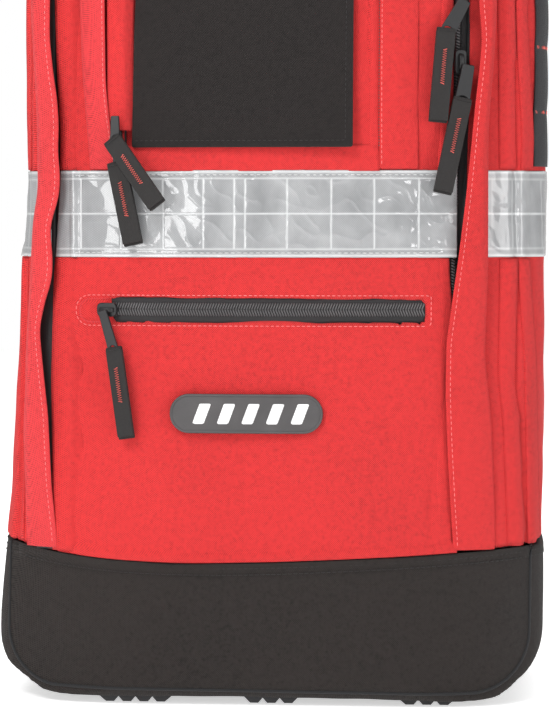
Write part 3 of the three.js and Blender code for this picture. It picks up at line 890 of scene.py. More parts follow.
def side_curve(sign, z, x_start, count, y_end=60):
    """Points round one side of the bag at a height, from x_start on its front to y_end on its side."""
    middle = at_height(z, MIDDLE_BOTTOM, MIDDLE_TOP)
    half = at_height(z, HALF_BOTTOM, HALF_TOP)
    dots = []
    for k in range(61):
        angle = math.pi / 2 * (1 - k / 60)
        x = middle + sign * half * math.cos(angle) ** (2 / BULGE_POWER)
        y = form_y(x, z) if k < 60 else SIDE_Y
        if (x - x_start) * sign >= -0.01:
            dots.append((x, y, z))
    dots.insert(0, (x_start, form_y(x_start, z), z))
    dots.append((middle + sign * half, y_end, z))
    return divided(dots, 1.0, count)


def side_facing(line, i, sign):
    """Which way the form faces at a point of a line round its side, seen from above."""
    ahead, behind = line[min(i + 1, len(line) - 1)], line[max(i - 1, 0)]
    along = Vector((ahead[0] - behind[0], ahead[1] - behind[1], 0)).normalized()
    return Vector((along.y, -along.x, 0)) * sign


BAND_RIGHT = 108.2  # the tape runs over the hem of the door
DOOR_WELDS = (-110, -86, -61, -37.5, -19.6, -13.3, 10.9, 36.3, 61, 86.4)
SIDE_WELDS = (12, 24.5, 49, 74, 99, 124, 149, 168)
SIDE_COLUMNS, SIDE_ROWS = 170, 50
HEM_LEFT = [(96, -128), (159, -128.2), (190, -128.7), (214, -127.9), (245, -127.1), (265, -125.7),
            (280, -124.9), (301, -122.8), (335, -122.8), (368, -124.6), (409, -126.1), (480, -126)]


def hem_left(z):
    """The left edge of the door's hem, which wanders beside the zip."""
    return smooth_table(HEM_LEFT, z, 9)


def add_band():
    """Reflective tape: one strip across the door, and one round each side of the bag."""

    def hump(distance, width):
        return math.exp(-((distance / width) ** 2))

    def weld_at(along, z, lines):
        cross = max(hump(along - line, 0.42) for line in lines)
        out = abs(z - BAND_MIDDLE)
        rim = max(0.9 * hump(out - 24, 0.7), 0.7 * hump(out - 20.3, 0.45))
        return min(1.0, float(max(hump(out, 0.42), cross * (out < 20.3), rim)))

    def strip(name, place, lines, size, body, replaced):
        columns, rows = size
        points, faces = grid_mesh(columns, rows, place)
        along = [p[3] for p in points]
        piece = mesh_piece(name, [p[:3] for p in points], faces)
        values = [weld_at(a, p[2], lines) for a, p in zip(along, points)]
        piece.data.attributes.new("weld", "FLOAT", "POINT").data.foreach_set("value", values)
        thicken(piece, 0.5, -1)
        finish_piece(piece, "tape_film", body, "reflective_tape", replaced)

    def crinkle(x, z):
        wide = noise.noise(Vector((x / 24, 3.1, z / 17)))
        crease = 1 - abs(noise.noise(Vector(((x + z) / 13, 5.7, (x - z) / 21))))
        fine = noise.noise(Vector((x / 6, 9.4, z / 7)))
        calm = 0.3 + 0.7 * smoothstep((x + 62) / 40)  # the left end is stretched flat
        return 0.9 + calm * (0.75 * wide + 0.5 * crease ** 5 + 0.1 * fine)

    def on_door(u, v):
        z = BAND_BOTTOM + (BAND_TOP - BAND_BOTTOM) * v
        left = hem_left(z)
        x = left + (BAND_RIGHT - left) * u
        place, _ = land(trees["door"], min(max(x, DOOR_LEFT + 1), DOOR_RIGHT + 1), z)
        level = place.y + form_y(x, z) - form_y(place.x, z)
        weld = weld_at(x, z, DOOR_WELDS)
        over_zip = 1.3 * smoothstep((-110 - x) / 6)
        return x, level - crinkle(x, z) + 0.3 * weld - over_zip, z, x

    strip("band_front_tape", on_door, DOOR_WELDS, (440, 96), "door", "band_front")
    rows = []
    for z in (BAND_BOTTOM + 2.6, BAND_TOP - 2.6):
        places = on_front(trees["door"], [(-117, z), (DOOR_RIGHT, z)])
        rows.append(stitch_mesh(*places, pitch=3.6, lift=1.2))
    make("band_stitches", joined(rows), "clear_thread", "door", "reflective_tape")

    for side, sign in SIDES:
        start = sign * (128.2 if sign < 0 else 116.8)
        curves = []
        for j in range(SIDE_ROWS + 1):
            z = BAND_BOTTOM + (BAND_TOP - BAND_BOTTOM) * j / SIDE_ROWS
            line = side_curve(sign, z, start, SIDE_COLUMNS)
            facings = [side_facing(line, i, sign) for i in range(len(line))]
            curves.append([(settle(trees["bag"], p, n, 0.55), n) for p, n in zip(line, facings)])

        def on_side(u, v, curves=curves):
            i, j = int(round(u * SIDE_COLUMNS)), int(round(v * SIDE_ROWS))
            spot, facing = curves[j][i]
            lift = 0.6 * (crinkle(spot.y + 300 + spot.x * 0.5, spot.z) - 0.85)
            return *(spot + facing * lift), i * 1.05

        size = (SIDE_COLUMNS, SIDE_ROWS)
        strip(f"band_side_{side}_tape", on_side, SIDE_WELDS, size, "bag", f"band_side_{side}")


# ---- Zips --------------------------------------------------------


def arch(grow, left, right, right_top, bottom, top, corner):
    """The open outline of a door: up its left side, over two round corners, and down its right side."""
    radius = corner + grow
    line = [(left - grow, bottom)]
    centre_z = top + grow - radius
    for centre_x, first in ((left - grow + radius, math.pi), (right_top + grow - radius, math.pi / 2)):
        for k in range(13):
            angle = first - math.pi / 2 * k / 12
            line.append((centre_x + radius * math.cos(angle), centre_z + radius * math.sin(angle)))
    line.append((right + grow, bottom))
    return line


def door_arch(grow):
    return arch(grow, DOOR_LEFT, DOOR_RIGHT, DOOR_RIGHT_TOP, HINGE_Z + 4, DOOR_TOP, DOOR_CORNER)


def panel_arch(grow):
    return arch(grow, PANEL_LEFT, PANEL_RIGHT, PANEL_RIGHT, PANEL_BOTTOM + 5, PANEL_TOP, PANEL_CORNER)


def zip_strip(name, inner, outer, depth, body, *replaces):
    """A tape between two outlines, set back by depth from the form."""
    count = 560
    near, far = (divided(line, 0.5, count) for line in (inner, outer))

    def place(u, v):
        i = int(round(u * count))
        x = near[i][0] * (1 - v) + far[i][0] * v
        z = near[i][1] * (1 - v) + far[i][1] * v
        return x, form_y(x, z, -depth), z

    piece = mesh_piece(name, *grid_mesh(count, 3, place))
    thicken(piece, 0.6, 0)
    finish_piece(piece, "tape", body, "zip_coil", *replaces)


def teeth_mesh(line, depth, pitch, reach, slant=0.35, radius=0.5):
    """Coil teeth across a line, one tube for each turn of the coil."""
    run = resample(line, pitch)
    made = []
    for k in range(len(run) - 1):
        here, there = run[k], run[k + 1]
        along = (there - here) / np.linalg.norm(there - here)
        across = np.array([-along[1], along[0]])
        dots = []
        for share in (-1, -0.5, 0, 0.5, 1):
            x, z = here + across * share * reach / 2 + along * share * slant * pitch
            rise = 0.55 * (1 - share * share)
            dots.append(Vector((x, form_y(x, z, -depth) - rise, z)))
        made.append(tube_mesh(dots, radius, 5))
    return joined(made)


def add_zips():
    zip_strip("main_zip_bag_half", door_arch(4.0), door_arch(8.6), 2.6, "bag")
    zip_strip("main_zip_door_half", door_arch(-0.5), door_arch(3.4), 2.0, "door", "main_zip")
    teeth = teeth_mesh(door_arch(2.4), 1.3, 1.7, 2.6, radius=0.55)
    make("main_zip_coil", teeth, "coil", "door", "zip_coil")
    line = [Vector((x, form_y(x, z, -1.6), z)) for x, z in resample(door_arch(8.4), 3)]
    make("main_zip_piping", tube_mesh(line, 1.1, 8), "binding", "bag", "zip_coil")
    inner, outer = panel_arch(3.0), panel_arch(7.0)
    zip_strip("compartment_zip_door_half", inner, outer, -0.6, "door", "compartment_zip")
    zip_strip("compartment_zip_panel_half", panel_arch(-1.5), panel_arch(1.6), -0.6, "front_panel")
    teeth = teeth_mesh(panel_arch(2.3), -1.2, 1.7, 2.4, radius=0.5)
    make("compartment_zip_coil", teeth, "coil", "door", "zip_coil")

    def pocket_tape(u, v):
        x, z = -91.6 + 182.4 * u, 223.4 + 14.2 * v
        return x, form_y(x, z, -2.4 + 0.5 * math.sin(v * math.pi)), z

    tape = mesh_piece("pocket_zip_tape", *grid_mesh(90, 8, pocket_tape))
    thicken(tape, 0.8, 1)
    finish_piece(tape, "tape", "door", "zip_coil", "pocket_zip")
    rows = []
    for z, slant in ((232.7, 0.5), (229.1, -0.5)):
        rows.append(teeth_mesh([(-91, z), (90.4, z)], 1.3, 1.55, 3.7, slant, 0.52))
    for z in (226.2, 225.1, 235.6):
        line = [Vector((x, form_y(x, z, -1.9), z)) for x, _ in resample([(-91, z), (90.4, z)], 2)]
        rows.append(tube_mesh(line, 0.4, 6))
    make("pocket_zip_coil", joined(rows), "coil", "door", "zip_coil")

    outline = ring([(93.5, 221.4, 1), (93.5, 239, 1), (-113, 239, 8), (-113, 221.4, 8)], 6)
    seam = stitch_mesh(*on_front(trees["door"], outline + outline[:1], 2.5), 3.0, 2.0, 0.27)
    garage = ring([(-93.5, 236.8, 0), (-110.5, 236.8, 6), (-110.5, 223.4, 6), (-93.5, 223.4, 0)], 6)
    places, _ = on_front(trees["door"], garage, 2.5)
    make("pocket_stitches", seam, "pale_thread", "door", "red_cordura")
    # The garage piping also takes the lighter red with painted light.
    make("pocket_garage_piping", tube_mesh(places, 0.55, 6), "painted_light_red", "door", "red_cordura")


# Of each slider: its place, its pull's hinge, how deep it sits, how far the hinge stands out, the leans
# of the tab and of the grip in degrees, its turn across the cloth, its size, and the sizes of tab and grip.
SLIDERS = {
    "main_upper": ((110, 409), (112, 407), 0.4, 7, 30, 5, 0, (7, 14), (9.6, 25, 11, 50)),
    "main_lower": ((109.4, 373), (114.4, 370), 0.4, 7, 10.5, 12.3, 0, (7, 14), (9.6, 25, 11, 52)),
    "compartment_upper": ((-87.4, 347), (-87.8, 341), -0.8, 12.6, 0, -36, 0, (6, 12), (6.5, 18, 11, 44)),
    "compartment_lower": ((-87.4, 328.5), (-86.6, 325), 2.2, 6.2, 0, -12, 0, (6, 12), (6.5, 16, 11.6, 45)),
    "pocket": ((-93.6, 230.5), (-96, 229), 0.4, 6.4, -17, -8.3, math.pi / 2, (8, 12), (6.8, 28, 9.8, 49.5)),
}


# The bridge over a slider, as a line of places on it.
CROWN_PATH = [(0, -2.6, -4.6), (0, -4.2, -3.6), (0, -4.7, -1.5), (0, -4.8, 1), (0, -4.3, 3.4),
              (0, -2.6, 4.4)]


def add_sliders():
    """Each slider with its pull: a tab with an eye, and a folded webbing grip with a red bartack."""
    for name, (slider, hinge, inset, lift, tab_lean, grip_lean, across, size, pull) in SLIDERS.items():
        x, z = slider
        turn = math.atan2(form_y(x + 2, z) - form_y(x - 2, z), 4)
        place = Matrix.Translation(Vector((x, form_y(x, z) - inset, z)) * MM)
        place = place @ Matrix.Rotation(turn, 4, "Z") @ Matrix.Rotation(across, 4, "Y")
        width, length = size
        rim = box_ring(-width / 2, -length / 2, width / 2, length / 2, width / 3)
        body = plate_piece(f"{name}_slider_plate", [rim], 2.9, 0.5, UPRIGHT)
        body.data.transform(shifted(0, -1.5, 0))
        dots = [Vector(p) for p in resample(CROWN_PATH, 0.8)]
        ribbon = ribbon_mesh(dots, [Vector((0, -1, 0.05))] * len(dots), 2.6, 0.9)
        crown = mesh_piece(f"{name}_slider_crown", *ribbon)
        made = join_pieces(f"{name}_slider_body", [body, crown])
        made.data.materials.clear()
        made.data.transform(place)
        finish_piece(made, "metal", f"{name}_slider_body", "slider_metal", f"{name}_slider")

        tab_width, tab_length, grip_width, grip_length = pull
        half = tab_width / 2
        hang = Matrix.Translation(Vector((hinge[0], form_y(*hinge) - inset - lift, hinge[1])) * MM)
        hang = hang @ Matrix.Rotation(turn, 4, "Z") @ Matrix.Rotation(math.radians(tab_lean), 4, "Y")
        top = half * 0.74
        rim = ring([(-half, -tab_length, 2.2), (half, -tab_length, 2.2), (top, 1.2, 0.8), (-top, 1.2, 0.8)])
        eye = oval(0, -tab_length + 5.5, tab_width - 3, 5.4)
        tab = plate_piece(f"{name}_pull_tab", [rim, eye], 1.6, 0.35, hang @ UPRIGHT)
        finish_piece(tab, "metal", f"{name}_pull_body", "pull_textile", f"{name}_pull")
        smooth_by_angle(tab)

        bend = Matrix.Rotation(math.radians(grip_lean - tab_lean), 4, "Y")
        bend = hang @ shifted(0, 0, 3 - tab_length) @ bend
        layers = []
        for k, (y, low) in enumerate(((-0.78, -grip_length + 1.4), (0.78, -grip_length))):
            rim = box_ring(-grip_width / 2, low, grip_width / 2, 2.6, 0.7)
            layer = plate_piece(f"{name}_grip_{k}", [rim], 1.35, 0.3, UPRIGHT)
            layer.data.transform(shifted(0, y, 0))
            layers.append(layer)
        turns = np.linspace(0, math.pi, 9)
        dots = [Vector((0, -1.45 * math.cos(a), 2.2 + 1.6 * math.sin(a))) for a in turns]
        facings = [Vector((0, -math.cos(a), math.sin(a))) for a in turns]
        loop = mesh_piece(f"{name}_grip_loop", *ribbon_mesh(dots, facings, grip_width - 0.6, 1.1))
        grip = join_pieces(f"{name}_pull_grip", [*layers, loop])
        grip.data.materials.clear()
        grip.data.transform(bend)
        finish_piece(grip, "grip", f"{name}_pull_body", "pull_textile")
        smooth_by_angle(grip)
        thread = bartack_mesh((0, -1.5, -8), (0, -1.5, -28), (0, -1, 0), 2.2, 15, 0.28)
        tack = mesh_piece(f"{name}_pull_bartack", *thread)
        tack.data.transform(bend)
        finish_piece(tack, "red_thread", f"{name}_pull_body", "pull_textile")


# ---- Flaps -------------------------------------------------------

# The free and the sewn edge of each storm flap as (height, x), as the soft cloth hangs.
STORM_FREE = {
    "left": [(95, -125.4), (127, -128.6), (150, -129.4), (168, -130), (192, -132.6), (219, -135.3),
             (236, -131.4), (246, -127.6), (256, -126.6), (266, -127.2), (277, -128.4), (284, -126.8),
             (292, -123.6), (301, -122), (310, -122), (323, -123.4), (336, -122.6), (352, -123.6),
             (366, -126), (388, -128.6), (410, -128.4), (450, -127), (488, -127.5)],
    "right": [(95, 106.4), (120, 104.8), (150, 103.2), (168, 102.5), (184, 102), (211, 102.3), (234, 105.5),
              (263, 109.6), (293, 113.2), (323, 116.2), (345, 118.2), (372, 121.2), (386, 122.4),
              (410, 120.4), (450, 121.3), (488, 120)],
}
STORM_SEWN = {
    "left": [(95, -144.6), (115, -145.2), (132, -145.4), (159, -146.2), (186, -144.6), (210, -144),
             (243, -141.6), (281, -139.4), (300, -136), (318, -136.4), (336, -136.6), (362, -137.8),
             (388, -139.8), (410, -140.9), (488, -139)],
    "right": [(95, 130), (122, 129.4), (170, 127.4), (202, 124), (212, 124), (255, 125.6), (330, 125.5),
              (350, 126.6), (372, 128.6), (410, 130.4), (488, 130)],
}
STORM_LIFT = {
    "left": [(95, 1.8), (120, 3.4), (160, 7.5), (200, 9.6), (300, 9.9), (400, 9.6), (470, 8), (488, 2.5)],
    "right": [(95, 2.4), (130, 3.6), (180, 4.6), (220, 6), (270, 9.4), (400, 10), (470, 8), (488, 2.5)],
}


def flap_look(side):
    # The left flaps take the red with painted light, lighter and pinker as if lit from the left; the right
    # flaps take the plain red.
    return "painted_light_red" if side == "left" else "red"


def mean_width(points, columns, rows):
    """How wide a grid of points is along its rows, on average."""
    steps = 0
    for j in range(rows + 1):
        for i in range(j * (columns + 1), j * (columns + 1) + columns):
            steps += (Vector(points[i + 1]) - Vector(points[i])).length
    return round(steps / (rows + 1)) * MM


def table_at(table, z):
    return float(np.interp(z, [p[0] for p in table], [p[1] for p in table]))


def smooth_table(table, z, reach=5):
    return sum(table_at(table, z + d) for d in (-reach, -reach / 2, 0, reach / 2, reach)) / 5


def add_storm_flaps():
    for side, sign in SIDES:
        free, sewn, lifts = STORM_FREE[side], STORM_SEWN[side], STORM_LIFT[side]

        def place(u, v, free=free, sewn=sewn, lifts=lifts, side=side, sign=sign):
            foot = seam_top((free[0][1] + sewn[0][1]) / 2)
            z = foot + (487.5 - foot) * v
            x0, x1 = smooth_table(sewn, z), smooth_table(free, z)
            lift = smooth_table(lifts, z)
            if u < 0.2:
                t = u / 0.2
                x, rise = x0 + sign * 0.5 * math.sin(math.pi * t), 0.7 + (lift * 0.8 - 0.7) * t
            else:
                t = (u - 0.2) / 0.8
                x = x0 + (x1 - x0) * t
                rise = lift * (0.8 + 0.2 * math.sin(min(t * 4, 1) * math.pi / 2))
                rise += 0.35 * math.sin(math.pi * t) * min(lift / 6, 1)
                rise += t * 0.7 * noise.noise(Vector((z / 30, 4.4 * sign, 0)))
            return x, form_y(x, z, rise), z

        body = f"storm_flap_{side}_body"
        points, faces = grid_mesh(20, 150, place)
        flap = mesh_piece(f"storm_flap_{side}_cloth", points, faces)
        thicken(flap, 1.5, sign, levels=1)
        finish_piece(flap, flap_look(side), body, "red_cordura", f"storm_flap_{side}")
        mean_width(points, 20, 150)
        line = [(smooth_table(free, z) + sign * 2.6, z) for z in range(94, 487, 3)]
        seam = stitch_mesh(*on_front(tree_of(flap), line), 3.2, 2.1, 0.24, 0.0)
        make(f"storm_flap_{side}_stitches", seam, "pale_thread", body, "red_cordura")


def add_compartment_flaps():
    free = {"left": [(311, -88), (322, -89.5), (345, -92.5), (360, -94), (400, -94.6), (478, -94.6)],
            "right": [(311, 63.8), (478, 63.8)]}
    sewn = {"left": [(311, -104.5), (345, -107.5), (370, -109.6), (410, -111), (478, -111)],
            "right": [(311, 86.2), (478, 86.2)]}
    lifts = {"left": [(311, 1.6), (322, 4.6), (345, 8), (400, 8.6), (460, 7.5), (478, 3)],
             "right": [(311, 1.4), (330, 2.6), (400, 3.6), (478, 2)]}
    for side, sign in SIDES:

        def place(u, v, side=side, sign=sign):
            z = 311.6 + 166 * v
            x0, x1 = smooth_table(sewn[side], z, 6), smooth_table(free[side], z, 6)
            lift = smooth_table(lifts[side], z, 6)
            x = x0 + (x1 - x0) * u
            rise = 0.9 + (lift - 0.9) * math.sin(u * math.pi / 2) ** (0.7 if side == "left" else 1)
            rise += 0.4 * u * noise.noise(Vector((z / 22, 8.1 * sign, 0)))
            return x, form_y(x, z, rise), z

        points, faces = grid_mesh(12, 80, place)
        flap = mesh_piece(f"compartment_flap_{side}_cloth", points, faces)
        thicken(flap, 1.3, sign, levels=1)
        finish_piece(flap, flap_look(side), "door", "red_cordura", f"compartment_flap_{side}")
        mean_width(points, 12, 80)
        line = [(smooth_table(free[side], z, 6) + sign * 1.4, z) for z in range(314, 477, 3)]
        seam = stitch_mesh(*on_front(tree_of(flap), line), 3.0, 2.0, 0.24, 0.0)
        make(f"compartment_flap_{side}_stitches", seam, "pale_thread", "door", "red_cordura")


def add_map_flap():
    """A flap of charcoal softshell that hangs free over the panel."""
    left, right, low, high = -78, 48.8, 324, 484

    def place(u, v):
        z = low + (high - low) * v
        x = left + (right - left) * u + (1 - v) * 0.4 - (1 - u) * (1.6 - 4.2 * v)
        hang = (1 - v) ** 1.5
        ripple = 0.5 * noise.noise(Vector((x / 40, 2.2, z / 45)))
        rise = 2.0 + hang * (1.0 + 3.6 * u) + ripple * (0.4 + hang)
        rise += 1.2 * hang * max(u - 0.9, 0) * 10
        return x, form_y(x, z, rise), z

    flap = mesh_piece("map_flap_cloth", *grid_mesh(48, 60, place))
    thicken(flap, 2.2, 0, levels=1)
    finish_piece(flap, "softshell", "map_flap_body", "softshell", "map_flap")
    outline = [(left + 0.5, low + 4), (right - 4, low + 4), (right - 4, high - 3)]
    seam = stitch_mesh(*on_front(tree_of(flap), outline, 2.5), 3.0, 2.1, 0.26, 0.0)
    make("map_flap_stitches", seam, "dark_thread", "map_flap_body", "softshell")


def add_badge():
    """A soft moulded pill with a raised rim and five plain slanted bars."""
    x0, x1, z0, z1 = -57, 31.8, 159.6, 182.4

    def formed(name, rings, base, thick, bevel, material):
        piece = plate_piece(name, rings, thick, bevel, UPRIGHT)
        modify(piece, "REMESH", mode="VOXEL", voxel_size=0.55 * MM)
        modify(piece, "SMOOTH", factor=0.5, iterations=2)
        apply_modifiers(piece)
        points = coordinates(piece)
        for point in points:
            point[1] += form_y(point[0], point[2]) - base
        set_coordinates(piece, points)
        smooth_by_angle(piece, 60)
        return finish_piece(piece, material, "door", "patch_rubber")

    rim = box_ring(x0, z0, x1, z1, 11.3, 10)
    body = formed("badge_body", [rim], 2.0, 2.4, 0.6, "badge")
    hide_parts("name_patch")
    inner = box_ring(x0 + 1.6, z0 + 1.6, x1 - 1.6, z1 - 1.6, 9.7, 10)
    formed("badge_rim", [rim, inner], 2.9, 1.8, 0.45, "badge")
    bars = []
    for k in range(5):
        x = -44 + k * 14.2
        bars.append([(x, 165), (x + 7, 165), (x + 11.5, 177), (x + 4.5, 177)])
    for k, bar in enumerate(bars):
        formed(f"badge_bar_{k + 1}", [ring([(a, b, 0.8) for a, b in bar], 3)], 3.2, 1.2, 0.3, "badge_white")


# ---- Lips and side webbing ---------------------------------------


def lip_strip(name, low, high, edges, body, lift=0.7, colour="red", sink=0.0):
    """A narrow hem of cloth down the front between two heights. edges(z) gives its two sides, and the first
    one sinks into the cloth it is sewn to."""

    def place(u, v):
        z = low + (high - low) * v
        x0, x1 = edges(z)
        x = x0 + (x1 - x0) * u
        rise = lift * (0.35 + 0.65 * math.sin(math.pi * min(max(u, 0.08), 0.92)))
        return x, form_y(x, z, rise - sink * (1 - smoothstep(u * 2))), z

    rows = max(int((high - low) / 3), 3)
    piece = mesh_piece(name, *grid_mesh(8, rows, place))
    thicken(piece, 1.0, 0)
    return finish_piece(piece, colour, body, "red_cordura")


def between(left, right):
    """The edges of a straight hem."""
    return lambda z: (left, right)


def taper(z, start, end):
    return float(smoothstep((end - z) / (end - start)))


def add_seam_hems():
    """The hem of the boot and the hem of the door, which meet in the dipping seam across the front."""
    for name, low, high, body, colour, slot, left, right in (
        ("boot_hem", -9, -0.3, "bag", "black", "black_cordura", -150, 150),
        ("door_hem", 8, 0.3, "door", "red", "red_cordura", -125, 108.5),
    ):
        tree = trees[body]
        reach = (-150, 150) if body == "bag" else (-116, 99)
        aside = -4 if body == "bag" else 6

        def place(u, v, low=low, high=high, left=left, right=right, tree=tree, reach=reach, aside=aside):
            x = left + (right - left) * u
            z = HINGE_Z + float(seam_dip(x)) + low + (high - low) * v
            held = land(tree, min(max(x, reach[0]), reach[1]), z + aside)[0]
            level = held.y + form_y(x, z) - form_y(held.x, z)
            return x, level + 0.9 - 1.6 * smoothstep(v * 1.6), z

        hem = mesh_piece(name, *grid_mesh(110, 6, place))
        thicken(hem, 0.9, 0)
        finish_piece(hem, colour, body, slot)


# Of each fold: its sewn edge as (height, x), its width, and how far its free edge stands up.
PLEATS = {
    "pleat_right_inner": ([(98, 146.4), (166, 143.6), (190, 140.8), (265, 141.6), (480, 139)], -9, 1.6),
    "pleat_right_outer": (
        [(98, 155), (200, 153), (260, 148.6), (330, 151), (400, 147), (480, 150)], -6, 1.1),
    "pleat_left": ([(98, -150.5), (300, -147), (480, -144)], 4, 1.0),
}


def add_pleats():
    """Folds sewn up the flanks: each lies flat on one side and ends in a crisp free edge on the other."""
    for name, (line, width, height) in PLEATS.items():
        for part, (low, high) in enumerate(((seam_top(line[0][1]), 260), (312, 480))):
            def piece_place(u, v, low=low, high=high, line=line, width=width, height=height):
                z = low + (high - low) * v
                x = smooth_table(line, z) + width * (1 - u)
                spot, _ = land(trees["bag"], x, z, 0.15 + height * u ** 1.5)
                return tuple(spot)

            fold = mesh_piece(f"{name}_{part}", *grid_mesh(6, 60, piece_place))
            thicken(fold, 0.9, 0)
            finish_piece(fold, "red", "bag", "red_cordura")


def add_zip_cover():
    """The soft fold of the panel that closes over the compartment's zip and its upper slider."""

    def place(u, v):
        z = 334 + 138 * v
        edge = -93 + 4.5 * taper(z, 334, 344)
        x = PANEL_LEFT + 6 + (edge - PANEL_LEFT - 6) * u
        rise = 0.6 + 4.9 * smoothstep(u / 0.4) + 0.25 * noise.noise(Vector((z / 16, 2.7, 0)))
        return x, form_y(x, z, rise), z

    fold = mesh_piece("panel_zip_cover", *grid_mesh(12, 70, place))
    thicken(fold, 1.0, 0)
    finish_piece(fold, "red", "front_panel", "red_cordura")


def add_lips():
    """The hems that close over the zips where no flap lies over them."""

    def right_edges(z):
        edge = DOOR_RIGHT + (DOOR_RIGHT_TOP - DOOR_RIGHT) * (z - HINGE_Z) / (DOOR_TOP - HINGE_Z)
        return edge - 9, edge + 0.2 + 4.6 * taper(z, 205, 262)

    def left_edges(z):
        return DOOR_LEFT + 9, hem_left(z)

    def tape_edges(z):
        return max(smooth_table(STORM_SEWN["left"], z) + 3.5, -138), -126.2

    for part, high in enumerate((BAND_BOTTOM - 0.3, 480)):
        low = BAND_TOP + 0.3 if part else seam_top(107)
        lip_strip(f"door_lip_right_{part}", low, high, right_edges, "door", 0.5, sink=2.4)
        low = BAND_TOP + 0.3 if part else seam_top(-126)
        lip_strip(f"door_lip_left_{part}", low, high, left_edges, "door", 0.9, sink=2.8)
    lip_strip("bag_tape_left", seam_top(-130), 486, tape_edges, "bag", 0.35, "tape")
    add_seam_hems()
    add_pleats()
    lip_strip("panel_lip_right", 324, 472, between(PANEL_RIGHT - 8, 65.4), "front_panel", 0.8, sink=2.6)
    lip_strip("panel_lip_left", 324, 334, between(PANEL_LEFT + 1.4, PANEL_LEFT - 2.3), "front_panel", 0.5)
    add_zip_cover()
    lip_strip("door_lip_chain", 322, 472, between(-94.4, -90.2), "door", 0.6)

    def across_hinge(u, v):
        x, z = -85.4 + 149.4 * u, 310.6 + 15 * v
        return x, form_y(x, z, 0.45 + 0.35 * math.sin(math.pi * v)), z

    fold = mesh_piece("panel_hinge_cloth", *grid_mesh(60, 12, across_hinge))
    thicken(fold, 1.0, 0)
    fold.data.materials.append(kit["red"])
    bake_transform(fold)


def add_daisy_chains():
    """Webbing up each side, laid round the corner and held down by bartacks, so that it stands in loops."""
    pitch, first, low, high, width = 37.5, 307.8, 313.5, 477.5, 22
    for side, sign, front in (("left", -1, -56), ("right", 1, -90)):

        def wrapped(z, u, lift, sign=sign, front=front):
            """A place on the side of the bag, u of the chain's width behind its front edge."""
            y = front + 0.025 * (high - z) + width * u
            middle = at_height(z, MIDDLE_BOTTOM, MIDDLE_TOP)
            x = middle + sign * at_height(z, HALF_BOTTOM, HALF_TOP)
            facing = Vector((sign, -smoothstep((-66 - y) / 40), 0)).normalized()
            return settle(trees["bag"], (x, y, z), facing, lift), facing

        def place(u, v):
            z = low + (high - low) * v
            loop = abs(math.sin(math.pi * (z - first) / pitch)) ** 0.6
            return tuple(wrapped(z, u, 0.6 + 0.8 * loop)[0])

        chain = mesh_piece(f"daisy_chain_{side}_webbing", *grid_mesh(8, 110, place))
        thicken(chain, 1.3, 0)
        finish_piece(chain, "webbing", "bag", "webbing", f"daisy_chain_{side}")
        tacks = []
        for k in range(1, 5):
            z = first + pitch * k
            for u0, u1 in ((0.06, 0.5), (0.5, 0.94)):
                start, facing = wrapped(z, u0, 1.3)
                end, _ = wrapped(z, u1, 1.3)
                tacks.append(bartack_mesh(start, end, facing, 1.8, 8, 0.22))
        make(f"daisy_chain_{side}_bartacks", joined(tacks), "red_thread", "bag", "webbing")


# ---- Inside ------------------------------------------------------


def dress_node(node, look, bevel, segments=2):
    """A CAD node that keeps its shape takes softened edges and its own look."""
    piece = nodes[node]
    modify(piece, "BEVEL", width=bevel * MM, segments=segments, limit_method="ANGLE")
    if not piece.data.materials:
        piece.data.materials.append(kit[look])
    for held in piece.material_slots:
        held.material = kit[look]


def add_inside():
    dress_node("frame_sheet", "hdpe", 0.6)
    for side, _ in SIDES:
        dress_node(f"frame_stay_{side}", "alloy", 0.6)
    for name in ("left", "middle", "right"):
        dress_node(f"runner_{name}", "rubber", 0.7)
    shelf = remeshed_copy("shelf_divider", "shelf_padded", 2.6, 3)
    crumple(shelf, [(45, 0.7, 11), (18, 0.25, 12)])
    finish_piece(shelf, "lining", "bag", "lining", "shelf_divider")

    left, right, low, high, base = -96, 88, 120, 292, -59.7

    def net(u, v):
        x, z = left + (right - left) * u, low + (high - low) * v
        rim = min(u, 1 - u, v, 0.35) * 8
        sag = 3.2 * float(smoothstep(rim)) * (1 + 0.12 * noise.noise(Vector((x / 30, 1.5, z / 30))))
        return x, base + 0.9 + sag, z

    pocket = mesh_piece("door_mesh_pocket_net", *grid_mesh(46, 44, net))
    thicken(pocket, 0.8, 0)
    finish_piece(pocket, "air", "door", "air_mesh", "door_mesh_pocket")
    dots = [Vector(net(u, 1)) + Vector((0, 0.6, -3)) for u in np.linspace(0, 1, 40)]
    hem = ribbon_mesh(dots, [Vector((0, 1, 0))] * len(dots), 9, 1.2)
    make("door_mesh_pocket_hem", hem, "binding", "door", "air_mesh")


# ---- Harness -----------------------------------------------------

STRAP_X, STRAP_WIDTH, STRAP_THICK = 56, 58, 12
STRAP_PATH = [(91, 492), (104, 512), (128, 514), (148, 486), (158, 430), (160, 360), (152, 285), (136, 222)]
WEB_PATH = [(134, 205), (121, 160), (108, 115), (97, 86), (85.3, 60)]
LIFTER_PATH = [(132, 523), (116, 536), (100, 546), (85.3, 548)]
WING_PATH = [(94, 91), (120, 92), (142, 100), (147, 122), (134, 143), (112, 152)]
STERNUM_Y, STERNUM_Z = 171.3, 400
HIP_Y, HIP_Z = 162, 135
SWAY = 24  # how far the straps run apart towards the hips
PAD_SHRINK, PAD_SWELL = 1.2, 2.6


def spline(points, step):
    """Evenly spaced points along a smooth curve through points."""
    points = [np.array(p, float) for p in points]
    dots = []
    for i, (here, there) in enumerate(zip(points, points[1:])):
        before, after = points[max(i - 1, 0)], points[min(i + 2, len(points) - 1)]
        for t in np.arange(0, 1, 0.05):
            lead, trail = (there - before) / 2, (after - here) / 2
            dots.append((2 * t**3 - 3 * t**2 + 1) * here + (t**3 - 2 * t**2 + t) * lead
                        + (3 * t**2 - 2 * t**3) * there + (t**3 - t**2) * trail)
    dots.append(points[-1])
    return resample(dots, step)


